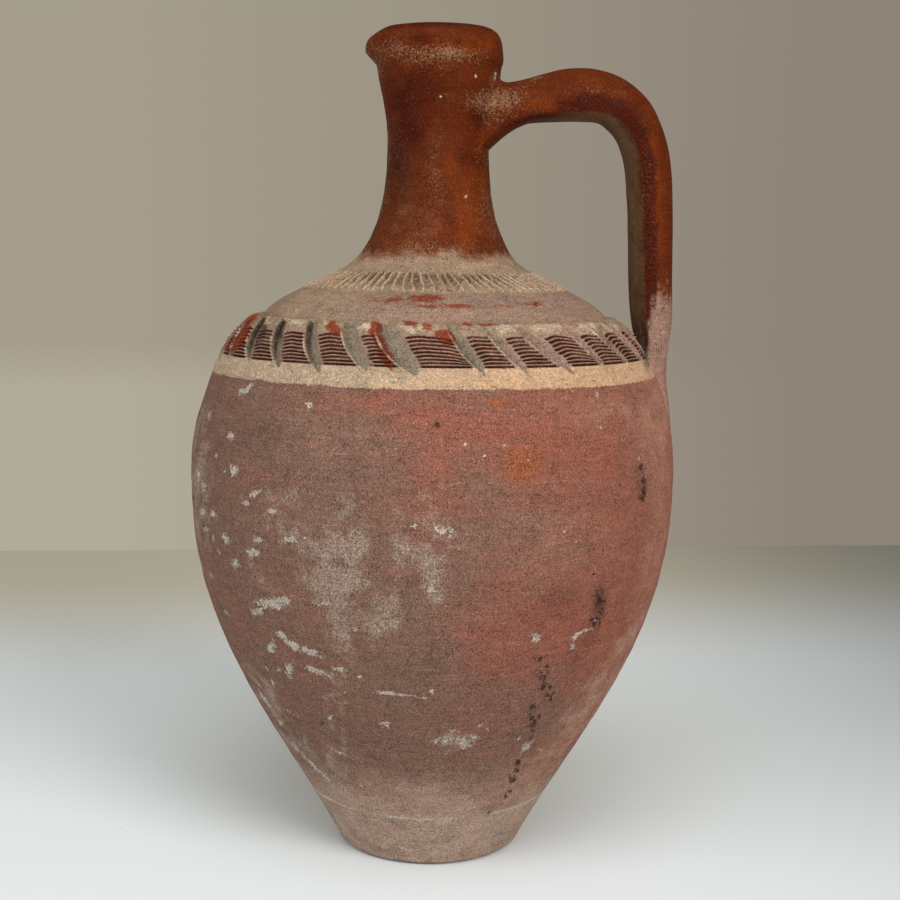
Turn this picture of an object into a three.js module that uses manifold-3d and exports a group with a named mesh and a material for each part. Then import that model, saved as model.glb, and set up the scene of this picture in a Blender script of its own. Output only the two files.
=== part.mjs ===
// A handled water jug of fired red clay, built from the clay members that a potter throws, pulls
// and lutes together. Millimetres, +Z up. The origin is the centre of the foot's flat underside,
// the handle stands towards +X and the pinched spout towards -X.
import * as THREE from "three";
import { mergeVertices } from "three/addons/utils/BufferGeometryUtils.js";
import Module from "manifold-3d";

// Heights of the thrown sections, from the foot up. Each section sits on the level edge of the
// one below it, so the joints' heights are running sums.
const footHeight = 30;
const lowerBodyHeight = 142;
const upperBodyHeight = 60.7;
const combBandHeight = 17.6;
const shoulderDomeHeight = 20.7;
const neckRootHeight = 59;
const neckFlareHeight = 33.5;
const rimHeight = 15.7;

// Outside radii at the joints and at the neck's waist.
const footRadius = 42.5;
const bellyRadius = 112;
const bandBaseRadius = 98.7;
const bandTopRadius = 84;
const neckRootRadius = 43.2;
const neckWaistRadius = 22.2;
const neckTopRadius = 28;

// Wall thicknesses, measured square to the wall.
const bodyWall = 6.5;
const neckWall = 5;
const floorThickness = 9;
const floorFillet = 8;
const footEdge = 1.5;

// The layer of slip between two curved faces that are luted together.
const slipGap = 0.3;

// The combed band that is laid round the shoulder's edge.
const bandThickness = 3;
const bandBulge = 1.6;
const bandLipWidth = 4.7;
const combToothDepth = 1.1;
const combTeeth = 7;

// The slanting gouges across the combed band.
const slashCount = 29;
const slashWidth = 6.4;
const slashDepth = 1.9;
const slashMargin = 1.2;
const slashLean = THREE.MathUtils.degToRad(24);

// The nicked coil round the root of the neck.
const coilHeight = 9;
const coilSeat = 3.5;
const coilRise = 1;

// The mouth's rolled rim and its pinched spout.
const rimThickness = 10.7;
const rimOverhang = 1.2;
const rimBulgeHeight = 7;
const spoutReach = 3.7;
const spoutDip = 1.6;
const spoutWidth = 17;

// The pulled strap handle. Its centreline rises from the upper wad, arches over and comes down
// outside the band. The wads are the clay that is pressed round its two roots.
const strapWidth = 33;
const strapUpperThickness = 22;
const strapLowerThickness = 15.4;
const strapStandOff = 4.6;
const strapRootDrop = 16;
const archRise = 5.7;
const upperWadReach = 16;
const upperWadHeight = 38;
const upperWadWidth = 36;
const upperWadDrop = 10.5;
const upperWadFlare = 1.3;
const lowerWadLength = 46;

// How finely round forms are divided.
const turnSegments = 48;
const bandSegments = 2 * slashCount;
const footOuterSteps = 3;
const footInnerSteps = 1;
const lowerBodyOuterSteps = 8;
const lowerBodyInnerSteps = 4;
const upperBodyOuterSteps = 5;
const upperBodyInnerSteps = 3;
const bandSteps = 2;
const domeOuterSteps = 4;
const domeInnerSteps = 3;
const neckRootOuterSteps = 6;
const neckRootInnerSteps = 3;
const neckFlareOuterSteps = 3;
const neckFlareInnerSteps = 2;
const coilSteps = 2;
const rimArcSteps = 4;
const strapSteps = 20;
const wadSteps = 6;
const edgeSteps = 8;
const slashCurveSteps = 3;
const bisections = 40;
const cutOverrun = 4;
const weldDistance = 1e-3;

// Heights of the joints above the resting plane.
const bellyLevel = footHeight + lowerBodyHeight;
const bandLevel = bellyLevel + upperBodyHeight;
const bandTopLevel = bandLevel + combBandHeight;
const neckLevel = bandTopLevel + shoulderDomeHeight;
const coilLevel = neckLevel - coilHeight;
const waistLevel = neckLevel + neckRootHeight;
const rimLevel = waistLevel + neckFlareHeight;

// The outer outline's curves, as points of (radius, height). Each inner control point is a share
// of the way across and up the box that its curve spans.
const bodyPullShares = { low: [0.4, 0.325], high: [1, 0.575] };
const upperPullShares = { low: [0, 0.03], high: [-0.22, 0.52] };
const domePullShares = { low: [0.12, 0.39], high: [0.713, 0.69] };
const rootPullShares = { low: [0.44, 0.104], high: [1, 0.26] };
const flarePullShares = { low: [0, 0.3], high: [0.59, 0.7] };

function outlineCurve(start, end, pullShares) {
  const pull = ([across, up]) =>
    new THREE.Vector2(
      THREE.MathUtils.lerp(start.x, end.x, across),
      THREE.MathUtils.lerp(start.y, end.y, up),
    );
  return new THREE.CubicBezierCurve(start, pull(pullShares.low), pull(pullShares.high), end);
}

const spot = (radius, level) => new THREE.Vector2(radius, level);

// A thickness that is square to the wall, measured level instead.
const levelThickness = (curve, share, thickness) => thickness / curve.getTangent(share).y;

// The band's face bows out between its base and its top edge.
const bandCurve = new THREE.QuadraticBezierCurve(
  spot(bandBaseRadius, bandLevel),
  spot((bandBaseRadius + bandTopRadius) / 2 + bandBulge, (bandLevel + bandTopLevel) / 2 + bandBulge),
  spot(bandTopRadius, bandTopLevel),
);
const seatTopRadius = bandTopRadius - levelThickness(bandCurve, 1, bandThickness + slipGap);
const bodyCurve = outlineCurve(spot(footRadius, 0), spot(bellyRadius, bellyLevel), bodyPullShares);
const upperCurve = outlineCurve(
  spot(bellyRadius, bellyLevel),
  spot(bandBaseRadius, bandLevel),
  upperPullShares,
);
const domeCurve = outlineCurve(
  spot(seatTopRadius, bandTopLevel),
  spot(neckRootRadius, neckLevel),
  domePullShares,
);
const rootCurve = outlineCurve(
  spot(neckRootRadius, neckLevel),
  spot(neckWaistRadius, waistLevel),
  rootPullShares,
);
const flareCurve = outlineCurve(
  spot(neckWaistRadius, waistLevel),
  spot(neckTopRadius, rimLevel),
  flarePullShares,
);

// The share along a rising curve at which it reaches a level.
function shareAtLevel(curve, level) {
  let low = 0;
  let high = 1;
  for (let i = 0; i < bisections; i += 1) {
    const middle = (low + high) / 2;
    if (curve.getPoint(middle).y < level) low = middle;
    else high = middle;
  }
  return (low + high) / 2;
}

// The point of a curve at a share of it, moved level by an offset that is square to the wall.
function offsetPoint(curve, share, offset) {
  const point = curve.getPoint(share);
  return spot(point.x + levelThickness(curve, share, offset), point.y);
}

// The points of a curve between two shares, with an offset that eases from one value to the other.
function offsetPoints(curve, from, to, steps, offsetFrom, offsetTo = offsetFrom) {
  return Array.from({ length: steps + 1 }, (_, i) =>
    offsetPoint(
      curve,
      THREE.MathUtils.lerp(from, to, i / steps),
      THREE.MathUtils.lerp(offsetFrom, offsetTo, i / steps),
    ),
  );
}

// A ring turned from a closed outline whose outer and inner points both run upward.
function turnedRing(outer, inner, segments) {
  const outline = [...outer, ...inner.slice().reverse(), outer[0].clone()];
  return new THREE.LatheGeometry(outline, segments).rotateX(Math.PI / 2);
}

// A solid turned from an outline that runs upward, closed to the axis at both ends.
function turnedSolid(outer, segments) {
  const outline = [spot(0, outer[0].y), ...outer, spot(0, outer.at(-1).y)];
  return new THREE.LatheGeometry(outline, segments).rotateX(Math.PI / 2);
}

const wasm = await Module();
wasm.setup();

function solidOf(geometry) {
  const bare = geometry.clone();
  bare.deleteAttribute("normal");
  bare.deleteAttribute("uv");
  const merged = mergeVertices(bare, weldDistance);
  const vertProperties = merged.attributes.position.array;
  const triVerts = new Uint32Array(merged.index.array);
  return new wasm.Manifold(new wasm.Mesh({ numProp: 3, vertProperties, triVerts }));
}

function geometryOf(solid) {
  const { vertProperties, triVerts } = solid.getMesh();
  const geometry = new THREE.BufferGeometry();
  geometry.setAttribute("position", new THREE.BufferAttribute(vertProperties, 3));
  geometry.setIndex(new THREE.BufferAttribute(triVerts, 1));
  return geometry;
}

// Rows of equally many points, each row a closed loop, joined into one closed skin with flat ends.
// The loops run anticlockwise as seen from the end that the rows go towards.
function loftedSkin(rows) {
  const count = rows[0].length;
  const points = rows.flat();
  const faces = [];
  for (let row = 0; row + 1 < rows.length; row += 1) {
    for (let i = 0; i < count; i += 1) {
      const a = row * count + i;
      const b = row * count + ((i + 1) % count);
      faces.push(a, b, b + count, a, b + count, a + count);
    }
  }
  const last = (rows.length - 1) * count;
  for (let i = 1; i + 1 < count; i += 1) {
    faces.push(0, i + 1, i);
    faces.push(last, last + i, last + i + 1);
  }
  const geometry = new THREE.BufferGeometry().setFromPoints(points);
  geometry.setIndex(faces);
  return geometry;
}

// Foot: the disc that the jug stands on, with the first of the wall thrown up from it.
function footGeometry() {
  const jointShare = shareAtLevel(bodyCurve, footHeight);
  const edgeShare = shareAtLevel(bodyCurve, footEdge);
  const filletShare = shareAtLevel(bodyCurve, floorThickness + floorFillet);
  const outer = offsetPoints(bodyCurve, edgeShare, jointShare, footOuterSteps, 0);
  const inner = offsetPoints(bodyCurve, filletShare, jointShare, footInnerSteps, -bodyWall);
  const filletEnd = inner[0];
  const bend = floorFillet * (1 - Math.SQRT1_2);
  const outline = [
    spot(0, 0),
    spot(footRadius - footEdge, 0),
    ...outer,
    ...inner.slice().reverse(),
    spot(filletEnd.x - bend, floorThickness + bend),
    spot(filletEnd.x - floorFillet, floorThickness),
    spot(0, floorThickness),
  ];
  return new THREE.LatheGeometry(outline, turnSegments).rotateX(Math.PI / 2);
}

// Lower body: the belly's lower half, up to the seam at its widest.
function lowerBodyGeometry() {
  const from = shareAtLevel(bodyCurve, footHeight);
  const outer = offsetPoints(bodyCurve, from, 1, lowerBodyOuterSteps, 0);
  const inner = offsetPoints(bodyCurve, from, 1, lowerBodyInnerSteps, -bodyWall);
  return turnedRing(outer, inner, turnSegments);
}

// Upper body: the belly's upper half, closing in to the shoulder's edge.
function upperBodyGeometry() {
  const outer = offsetPoints(upperCurve, 0, 1, upperBodyOuterSteps, 0);
  const inner = offsetPoints(upperCurve, 0, 1, upperBodyInnerSteps, -bodyWall);
  return turnedRing(outer, inner, turnSegments);
}

// Shoulder: the seat behind the combed band, then the dome, cut back where the coil lies on it.
// Its lower edge is as far in as the upper body's, so the two meet flush inside.
function shoulderGeometry() {
  const seat = offsetPoints(bandCurve, 0, 1, bandSteps, -bandThickness - slipGap);
  const coilShare = shareAtLevel(domeCurve, coilLevel);
  const dome = offsetPoints(domeCurve, 0, coilShare, domeOuterSteps, 0);
  const coilBed = offsetPoints(domeCurve, coilShare, 1, coilSteps, 0);
  coilBed.forEach((point) => {
    point.x -= coilSeat;
  });
  const innerBase = bandBaseRadius - levelThickness(upperCurve, 1, bodyWall);
  const innerDome = offsetPoints(domeCurve, 0, 1, domeInnerSteps, -bodyWall);
  const inner = [spot(innerBase, bandLevel), ...innerDome];
  return turnedRing([...seat, ...dome.slice(1), ...coilBed], inner, turnSegments);
}

// Neck: a trumpet that narrows from its root to the waist and opens again to the rim.
function neckGeometry() {
  const rootOuter = offsetPoints(rootCurve, 0, 1, neckRootOuterSteps, 0);
  const rootInner = offsetPoints(rootCurve, 0, 1, neckRootInnerSteps, -bodyWall, -neckWall);
  const flareOuter = offsetPoints(flareCurve, 0, 1, neckFlareOuterSteps, 0);
  const mouthWall = (rimThickness - rimOverhang) * flareCurve.getTangent(1).y;
  const flareInner = offsetPoints(flareCurve, 0, 1, neckFlareInnerSteps, -neckWall, -mouthWall);
  return turnedRing(
    [...rootOuter, ...flareOuter.slice(1)],
    [...rootInner, ...flareInner.slice(1)],
    turnSegments,
  );
}

// Neck coil: laid on the shoulder's bed and held down by the neck's foot.
function neckCoilGeometry() {
  const coilShare = shareAtLevel(domeCurve, coilLevel);
  const outer = offsetPoints(domeCurve, coilShare, 1, coilSteps, coilRise, 0);
  const inner = offsetPoints(domeCurve, coilShare, 1, coilSteps, 0);
  inner.forEach((point) => {
    point.x -= coilSeat - slipGap;
  });
  return turnedRing(outer, inner, turnSegments);
}

// Comb band: a ring whose face is combed into level grooves below a plain lip, with slanting
// leaf-shaped gouges cut across them.
function combBandGeometry() {
  const lipShare = 1 - bandLipWidth / bandCurve.getLength();
  const outer = [];
  for (let tooth = 0; tooth < combTeeth; tooth += 1) {
    const ridge = (lipShare * tooth) / combTeeth;
    const valley = (lipShare * (tooth + 0.5)) / combTeeth;
    outer.push(offsetPoint(bandCurve, ridge, 0), offsetPoint(bandCurve, valley, -combToothDepth));
  }
  outer.push(...offsetPoints(bandCurve, lipShare, 1, 1, 0));
  const inner = offsetPoints(bandCurve, 0, 1, bandSteps, -bandThickness);
  let band = solidOf(turnedRing(outer, inner, bandSegments));
  for (let i = 0; i < slashCount; i += 1) {
    band = band.subtract(solidOf(slashGeometry((2 * Math.PI * i) / slashCount)));
  }
  return geometryOf(band);
}

// One gouge's cutter: a leaf that is broad at the band's top edge and comes to a point near its
// base, leaning to the right as seen from outside, as deep as the slash and overrunning the band.
function slashGeometry(angle) {
  const middle = bandCurve.getPoint(0.5);
  const slope = bandCurve.getTangent(0.5);
  const reach = bandCurve.getLength() / Math.cos(slashLean);
  const half = slashWidth / 2;
  const tip = slashMargin - reach / 2;
  const leaf = new THREE.Shape();
  leaf.moveTo(half, reach / 2 + cutOverrun);
  leaf.lineTo(-half, reach / 2 + cutOverrun);
  leaf.quadraticCurveTo(-half - slashWidth / 4, 0, 0, tip);
  leaf.quadraticCurveTo(half, 0, half, reach / 2 + cutOverrun);
  const cutter = new THREE.ExtrudeGeometry(leaf, {
    depth: slashDepth + cutOverrun,
    curveSegments: slashCurveSteps,
    bevelEnabled: false,
  });
  cutter.translate(0, 0, -slashDepth);
  cutter.rotateZ(slashLean);
  cutter.rotateX(Math.atan2(slope.y, -slope.x));
  cutter.translate(0, -middle.x, middle.y);
  return cutter.rotateZ(angle);
}

// Mouth rim: a thick rolled lip, drawn out and dipped into a small spout away from the handle.
function mouthRimGeometry() {
  const outerRadius = neckTopRadius + rimOverhang;
  const mouthRadius = outerRadius - rimThickness;
  const crestRadius = (outerRadius + mouthRadius) / 2 - rimOverhang / 2;
  const crown = rimHeight - rimBulgeHeight;
  const section = [spot(neckTopRadius, 0), spot(outerRadius - rimOverhang / 4, rimBulgeHeight / 3)];
  for (let i = 0; i <= 2 * rimArcSteps; i += 1) {
    const turn = (Math.PI * i) / (2 * rimArcSteps);
    const side = turn < Math.PI / 2 ? outerRadius - crestRadius : crestRadius - mouthRadius;
    section.push(spot(crestRadius + side * Math.cos(turn), rimBulgeHeight + crown * Math.sin(turn)));
  }
  section.push(spot(mouthRadius, 0));
  const spoutSpread = spoutWidth / 2 / outerRadius;
  const points = [];
  for (let i = 0; i < turnSegments; i += 1) {
    const angle = (2 * Math.PI * i) / turnSegments;
    const pull = Math.exp(-(((angle - Math.PI) / spoutSpread) ** 2));
    const row = section.map(({ x, y }) => {
      const rise = y / rimHeight;
      const lean = Math.min(1, 2 * rise);
      const radius = x + spoutReach * pull * lean;
      const level = rimLevel + y - spoutDip * pull * rise ** 2;
      return new THREE.Vector3(radius * Math.cos(angle), radius * Math.sin(angle), level);
    });
    points.push(row);
  }
  return ringSkin(points);
}

// Rows round a ring, the last joined to the first. Each row is a closed section that runs
// anticlockwise with the radius across and +Z up.
function ringSkin(rows) {
  const count = rows[0].length;
  const faces = [];
  rows.forEach((_, row) => {
    const next = (row + 1) % rows.length;
    for (let i = 0; i < count; i += 1) {
      const j = (i + 1) % count;
      faces.push(row * count + i, next * count + i, next * count + j);
      faces.push(row * count + i, next * count + j, row * count + j);
    }
  });
  const geometry = new THREE.BufferGeometry().setFromPoints(rows.flat());
  geometry.setIndex(faces);
  return geometry;
}

// The strap's section: flat on the hand's side and rounded on the back, between an inner and an
// outer point, across a width. Shares of the section's depth.
const strapSideShare = 0.2;
const strapFlatShare = 0.86;

function strapSection(inner, outer, width) {
  const across = new THREE.Vector3(0, width / 2, 0);
  const depth = outer.clone().sub(inner);
  const at = (side, out) => inner.clone().addScaledVector(depth, out).addScaledVector(across, side);
  const row = [at(strapFlatShare, 0)];
  for (let i = 0; i <= edgeSteps; i += 1) {
    const turn = (Math.PI * i) / edgeSteps;
    row.push(at(Math.cos(turn), strapSideShare + (1 - strapSideShare) * Math.sin(turn)));
  }
  row.push(at(-strapFlatShare, 0));
  return row;
}

// The strap's centreline, from the upper wad over the arch and down to the lower wad. Each entry
// is the share of the way out to the vertical run and the share of the way down from the arch.
const strapPathShares = [
  [0, 0.046],
  [0.245, 0.01],
  [0.475, 0],
  [0.738, 0.045],
  [0.888, 0.153],
  [0.971, 0.39],
  [0.997, 0.71],
  [1.012, 1],
];
const upperWadFace = neckWaistRadius + upperWadReach;
const strapRunRadius = bandBaseRadius + strapStandOff;
const archLevel = rimLevel - strapRootDrop + archRise;

function strapCentreline() {
  const points = strapPathShares.map(
    ([out, down]) =>
      new THREE.Vector3(
        THREE.MathUtils.lerp(upperWadFace, strapRunRadius, out),
        0,
        THREE.MathUtils.lerp(archLevel, bandLevel, down),
      ),
  );
  return new THREE.CatmullRomCurve3(points);
}

// The inner and outer points of the strap's section at a share of its length. Its two ends are cut
// square: upright against the upper wad and level on the lower one.
function strapEdges(path, share) {
  const centre = path.getPoint(share);
  const tangent = path.getTangent(share);
  if (share === 0) tangent.set(1, 0, 0);
  if (share === 1) tangent.set(0, 0, -1);
  const outward = new THREE.Vector3(-tangent.z, 0, tangent.x);
  const half = THREE.MathUtils.lerp(strapUpperThickness, strapLowerThickness, share) / 2;
  return {
    inner: centre.clone().addScaledVector(outward, -half),
    outer: centre.clone().addScaledVector(outward, half),
  };
}

// Handle: the pulled strap between the two wads, clear of the band behind its lower end.
function handleGeometry() {
  const path = strapCentreline();
  const rows = [];
  for (let i = 0; i <= strapSteps; i += 1) {
    const { inner, outer } = strapEdges(path, i / strapSteps);
    rows.push(strapSection(inner, outer, strapWidth));
  }
  const face = offsetPoints(bandCurve, 0, 1, bandSteps, slipGap);
  const base = spot(face[0].x, bandLevel - cutOverrun);
  const band = turnedSolid([base, ...face], bandSegments);
  return geometryOf(solidOf(loftedSkin(rows)).subtract(solidOf(band)));
}

// Upper wad: the clay round the strap's upper root, wider and taller where it grips the neck.
function upperWadGeometry() {
  const { inner, outer } = strapEdges(strapCentreline(), 0);
  const rootLevel = rimLevel - strapRootDrop - upperWadDrop;
  const rows = [];
  for (let i = 0; i <= wadSteps; i += 1) {
    const share = i / wadSteps;
    const grip = (1 - share) ** upperWadFlare;
    const x = THREE.MathUtils.lerp(neckWaistRadius - neckWall, upperWadFace, share);
    const low = THREE.MathUtils.lerp(inner.z, rootLevel - upperWadHeight / 2, grip);
    const high = THREE.MathUtils.lerp(outer.z, rootLevel + upperWadHeight / 2, grip);
    const width = THREE.MathUtils.lerp(strapWidth, upperWadWidth, grip);
    const foot = new THREE.Vector3(x, 0, low);
    const top = new THREE.Vector3(x, 0, high);
    rows.push(strapSection(foot, top, width));
  }
  rows.unshift(rows[0].map((point) => new THREE.Vector3(0, point.y, point.z)));
  const face = [
    ...offsetPoints(rootCurve, 0, 1, neckRootOuterSteps, slipGap),
    ...offsetPoints(flareCurve, 0, 1, neckFlareOuterSteps, slipGap).slice(1),
  ];
  const neck = turnedSolid(face, turnSegments);
  return geometryOf(solidOf(loftedSkin(rows)).subtract(solidOf(neck)));
}

// Lower wad: the tongue of clay that carries the strap's lower end and is smeared down the body.
// Each share of its depth is how far it still stands out, from the strap's end down.
const wadDepthShares = [1, 0.52, 0.32, 0.2, 0.12, 0.08];

function lowerWadGeometry() {
  const { outer } = strapEdges(strapCentreline(), 1);
  const depth = outer.x - bandBaseRadius;
  const rows = wadDepthShares.map((depthShare, i) => {
    const level = bandLevel - (lowerWadLength * i) / (wadDepthShares.length - 1);
    const wall = upperCurve.getPoint(shareAtLevel(upperCurve, level)).x;
    const foot = new THREE.Vector3(wall - bodyWall / 2, 0, level);
    const back = new THREE.Vector3(wall + depth * depthShare, 0, level);
    return strapSection(foot, back, strapWidth);
  });
  const face = offsetPoints(upperCurve, 0, 1, upperBodyOuterSteps, slipGap);
  const cap = spot(face.at(-1).x, bandLevel + cutOverrun);
  const body = turnedSolid([...face, cap], turnSegments);
  return geometryOf(solidOf(loftedSkin(rows)).subtract(solidOf(body)));
}

// Colours of the fired clay and its slips.
const clay = { roughness: 0.85, metalness: 0 };
const finishes = {
  body: { color: 0x97664f, ...clay },
  foot: { color: 0xa08672, ...clay },
  shoulder: { color: 0xb0917c, ...clay },
  band: { color: 0x8f7763, ...clay },
  neck: { color: 0x6f2f1b, ...clay, roughness: 0.6 },
};

function member(name, geometry, finish) {
  const mesh = new THREE.Mesh(geometry, new THREE.MeshStandardMaterial(finishes[finish]));
  mesh.name = name;
  return mesh;
}

const jug = new THREE.Group();
jug.add(
  member("foot", footGeometry(), "foot"),
  member("lower_body", lowerBodyGeometry(), "body"),
  member("upper_body", upperBodyGeometry(), "body"),
  member("shoulder", shoulderGeometry(), "shoulder"),
  member("comb_band", combBandGeometry(), "band"),
  member("neck_coil", neckCoilGeometry(), "shoulder"),
  member("neck", neckGeometry(), "neck"),
  member("mouth_rim", mouthRimGeometry(), "neck"),
  member("handle", handleGeometry(), "neck"),
  member("upper_wad", upperWadGeometry(), "neck"),
  member("lower_wad", lowerWadGeometry(), "body"),
);

export default jug;
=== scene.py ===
"""A hand-thrown water jug of red clay, dressed with its thrown surface, slips, comb marks and wear.

Lengths are millimetres until a mesh is made. An azimuth is turned from +X, where the handle stands,
and a level is a height above the plane that the jug stands on.
"""
import itertools
import math

import bpy
import numpy as np
from mathutils import Matrix, Vector


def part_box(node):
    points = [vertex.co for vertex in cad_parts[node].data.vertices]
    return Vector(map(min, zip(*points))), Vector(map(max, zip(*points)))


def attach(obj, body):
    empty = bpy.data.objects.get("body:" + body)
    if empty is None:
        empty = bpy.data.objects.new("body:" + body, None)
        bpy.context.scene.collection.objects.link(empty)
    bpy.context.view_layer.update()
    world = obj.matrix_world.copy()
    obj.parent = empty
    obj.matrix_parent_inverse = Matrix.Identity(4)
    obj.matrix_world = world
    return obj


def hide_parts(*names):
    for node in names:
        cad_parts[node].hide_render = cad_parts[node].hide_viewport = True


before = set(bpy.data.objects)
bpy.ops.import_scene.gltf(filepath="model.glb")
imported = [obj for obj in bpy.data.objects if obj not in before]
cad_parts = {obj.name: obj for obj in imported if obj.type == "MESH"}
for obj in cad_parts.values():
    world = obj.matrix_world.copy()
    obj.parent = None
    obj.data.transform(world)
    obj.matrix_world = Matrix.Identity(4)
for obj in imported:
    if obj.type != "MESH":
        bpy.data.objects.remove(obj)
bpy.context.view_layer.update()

MM = 1000.0

# The photograph's camera, fitted to the jug's outline. Pixels are of the 900 by 900 photograph.
IMAGE_PIXELS = 900
FOCAL_PIXELS = 1450.5
SENSOR_WIDTH = 36.0
CAMERA_PLACE = np.array([-62.95, -675.4, 276.3])
CAMERA_FORWARD = np.array([0.1036, 0.986, -0.1307])
CAMERA_ROLL = math.radians(0.81)

# Levels of the joints between the thrown sections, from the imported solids.
FOOT_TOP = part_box("lower_body")[0][2] * MM
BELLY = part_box("upper_body")[0][2] * MM
BAND_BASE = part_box("comb_band")[0][2] * MM
BAND_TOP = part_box("comb_band")[1][2] * MM
COIL_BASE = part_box("neck_coil")[0][2] * MM
NECK_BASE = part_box("neck")[0][2] * MM
RIM_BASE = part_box("mouth_rim")[0][2] * MM
RIM_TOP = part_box("mouth_rim")[1][2] * MM
JOINTS = (FOOT_TOP, BELLY, BAND_BASE, BAND_TOP, COIL_BASE, NECK_BASE, RIM_BASE)

# Radii of the outer wall at those levels, wall thicknesses, the floor inside, and how far the coil
# stands out and how deep it sits.
FOOT_RADIUS = 42.5
BELLY_RADIUS = 112.0
BAND_BASE_RADIUS = 98.7
BAND_TOP_RADIUS = 84.0
DOME_BASE_RADIUS = 78.74
COIL_BASE_RADIUS = 62.0
NECK_BASE_RADIUS = 43.2
WAIST_RADIUS = 22.2
WAIST_LEVEL = 330.0
NECK_TOP_RADIUS = 28.0
BODY_WALL = 6.5
BAND_WALL = 3.0
NECK_WALL = 5.0
FLOOR_LEVEL = 9.0
FLOOR_FILLET = 8.0
COIL_RISE = 0.6
COIL_SEAT = 3.5

# How much fuller the neck is than its outline at the waist, and under the rim where the strap is,
# the levels over which each comes and goes, and how far round the second reaches, in radians.
WAIST_SWELL = 1.1
WAIST_SWELL_RISE = (NECK_BASE, 288)
WAIST_SWELL_FALL = (350, RIM_BASE)
ROOT_SWELL = 1.2
ROOT_SWELL_RISE = (348, 355)
ROOT_SWELL_FALL = (RIM_BASE + 1, RIM_BASE + 8)
ROOT_SWELL_TURN = 0.5

# The band's bow, its plain lip and the comb's grooves.
BAND_BOW = 1.6
LIP_LEVEL = 245.6
COMB_GROOVES = 9
ROWS_PER_GROOVE = 8
GROOVE_DEPTH = 1.35
LINE_FALL = 1.4
LINE_DIVE = 1.3
LIP_ROUND = 0.4

# The slanting gouges of the front: how far round from the camera's azimuth a gouge's tip is, in
# degrees, the tip's level, the width, the lean in degrees, the depth, the level where its top is
# smoothed over, and the width of the smear to its right. The others stand evenly round the back.
FRONT_AZIMUTH = -95.3
FRONT_SLASHES = (
    (-64.0, 231.6, 6.0, 34, 2.0, 256.0, 0.5),
    (-53.0, 231.8, 6.8, 34, 2.5, 256.0, 0.4),
    (-40.8, 230.4, 6.8, 34, 2.5, 256.0, 0.4),
    (-28.4, 229.4, 6.8, 34, 2.2, 256.0, 0.5),
    (-15.9, 231.0, 7.2, 34, 1.5, 256.0, 1.4),
    (-4.7, 229.8, 10.8, 34, 1.7, 256.0, 1.0),
    (11.5, 229.9, 5.4, 29, 1.7, 248.5, 0.4),
    (22.2, 230.0, 5.4, 32, 1.5, 247.0, 0.8),
    (34.8, 229.5, 7.0, 42, 1.4, 246.5, 1.7),
    (47.0, 232.0, 4.2, 32, 1.4, 246.0, 0.6),
    (58.9, 231.2, 4.4, 36, 1.4, 248.0, 0.6),
)
SLASH_COUNT = 29
SLASH_WIDTH = 7.2
SLASH_DEPTH = 2.1
SLASH_TIP_LEVEL = 230.4
SLASH_LEAN = math.radians(34)
BURR_HEIGHT = 1.0
BURR_WIDTH = 0.72

# The strokes across the coil at the neck's root, and the fine level lines below them.
NICK_COUNT = 86
NICK_DEPTH = 1.35
NICK_BURR = 0.75
NICK_LEAN = math.radians(10)
NICK_LINES = 11

# The mouth's rim and its pinched spout.
RIM_THICKNESS = 10.7
RIM_OVERHANG = 1.2
RIM_BULGE = 7.0
SPOUT_REACH = 3.6
SPOUT_DIP = 3.0
SPOUT_WIDTH = 17.0
RIM_SQUARENESS = 0.93

# The strap's stations, from inside the neck, over the arch and down to where its clay is smeared
# into the body: (radius, level) of the back and of the palm side, and the strap's width there.
STRAP_STATIONS = (
    ((20.2, 355.8), (20.2, 339.0), 31.0),
    ((26.0, 356.0), (26.0, 339.0), 31.0),
    ((31.5, 356.5), (31.5, 339.0), 31.0),
    ((38.9, 358.1), (39.5, 339.2), 31.0),
    ((48.0, 360.9), (48.5, 339.7), 31.0),
    ((58.0, 363.4), (59.0, 340.4), 31.0),
    ((70.0, 364.0), (68.5, 340.7), 31.0),
    ((82.0, 361.2), (76.2, 340.4), 31.0),
    ((91.4, 356.0), (81.3, 337.3), 31.0),
    ((99.2, 348.2), (85.8, 332.4), 31.0),
    ((105.1, 337.2), (88.4, 326.5), 31.0),
    ((108.7, 325.6), (90.0, 319.6), 31.0),
    ((110.3, 313.5), (90.9, 311.5), 31.0),
    ((111.1, 298.0), (92.2, 297.5), 31.0),
    ((111.4, 280.0), (93.2, 280.0), 31.0),
    ((111.8, 262.0), (94.2, 262.0), 31.0),
    ((112.1, 249.0), (95.4, 249.0), 31.0),
    ((111.2, 239.0), (97.2, 239.0), 31.0),
    ((110.4, 230.0), (96.0, 230.0), 31.4),
    ((110.2, 221.0), (98.0, 221.0), 32.0),
    ((111.2, 211.0), (100.5, 211.0), 33.0),
    ((112.0, 201.0), (102.5, 201.0), 33.0),
    ((112.2, 190.0), (104.0, 190.0), 32.0),
    ((110.0, 176.0), (104.0, 176.0), 30.0),
)
STRAP_SIDE_SHARE = 0.24
PALM_SQUARENESS = 4.2
WAD_FACE = 38.2

# The strap's root bends round the neck, its palm side runs down into the neck in a wide curve, and
# its back meets the neck in a small one. Its tail spreads a little sideways over the body. The root
# is what lies nearer to the axis than its limit.
ROOT_BEND_RADIUS = 23.0
ROOT_BEND_HALF_WIDTH = 21
ROOT_BEND_REACH = (27.0, 46.0)
ROOT_DROP = 13.0
ROOT_REACH = 23.0
ROOT_CURVE = 1.9
ROOT_FILLET = 6.0
TAIL_FILLET = 7.0
TAIL_SPREAD = 3.0
ROOT_LIMIT = 60.0

# How far out along X the strap's palm turns olive, and levels over which its red slip gives way to
# pale clay and that clay to the body's.
PALM_FADE = (44, 66)
STRAP_SLIP_FADE = (247, 272)
STRAP_WASH_FADE = (176, 222)

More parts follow.
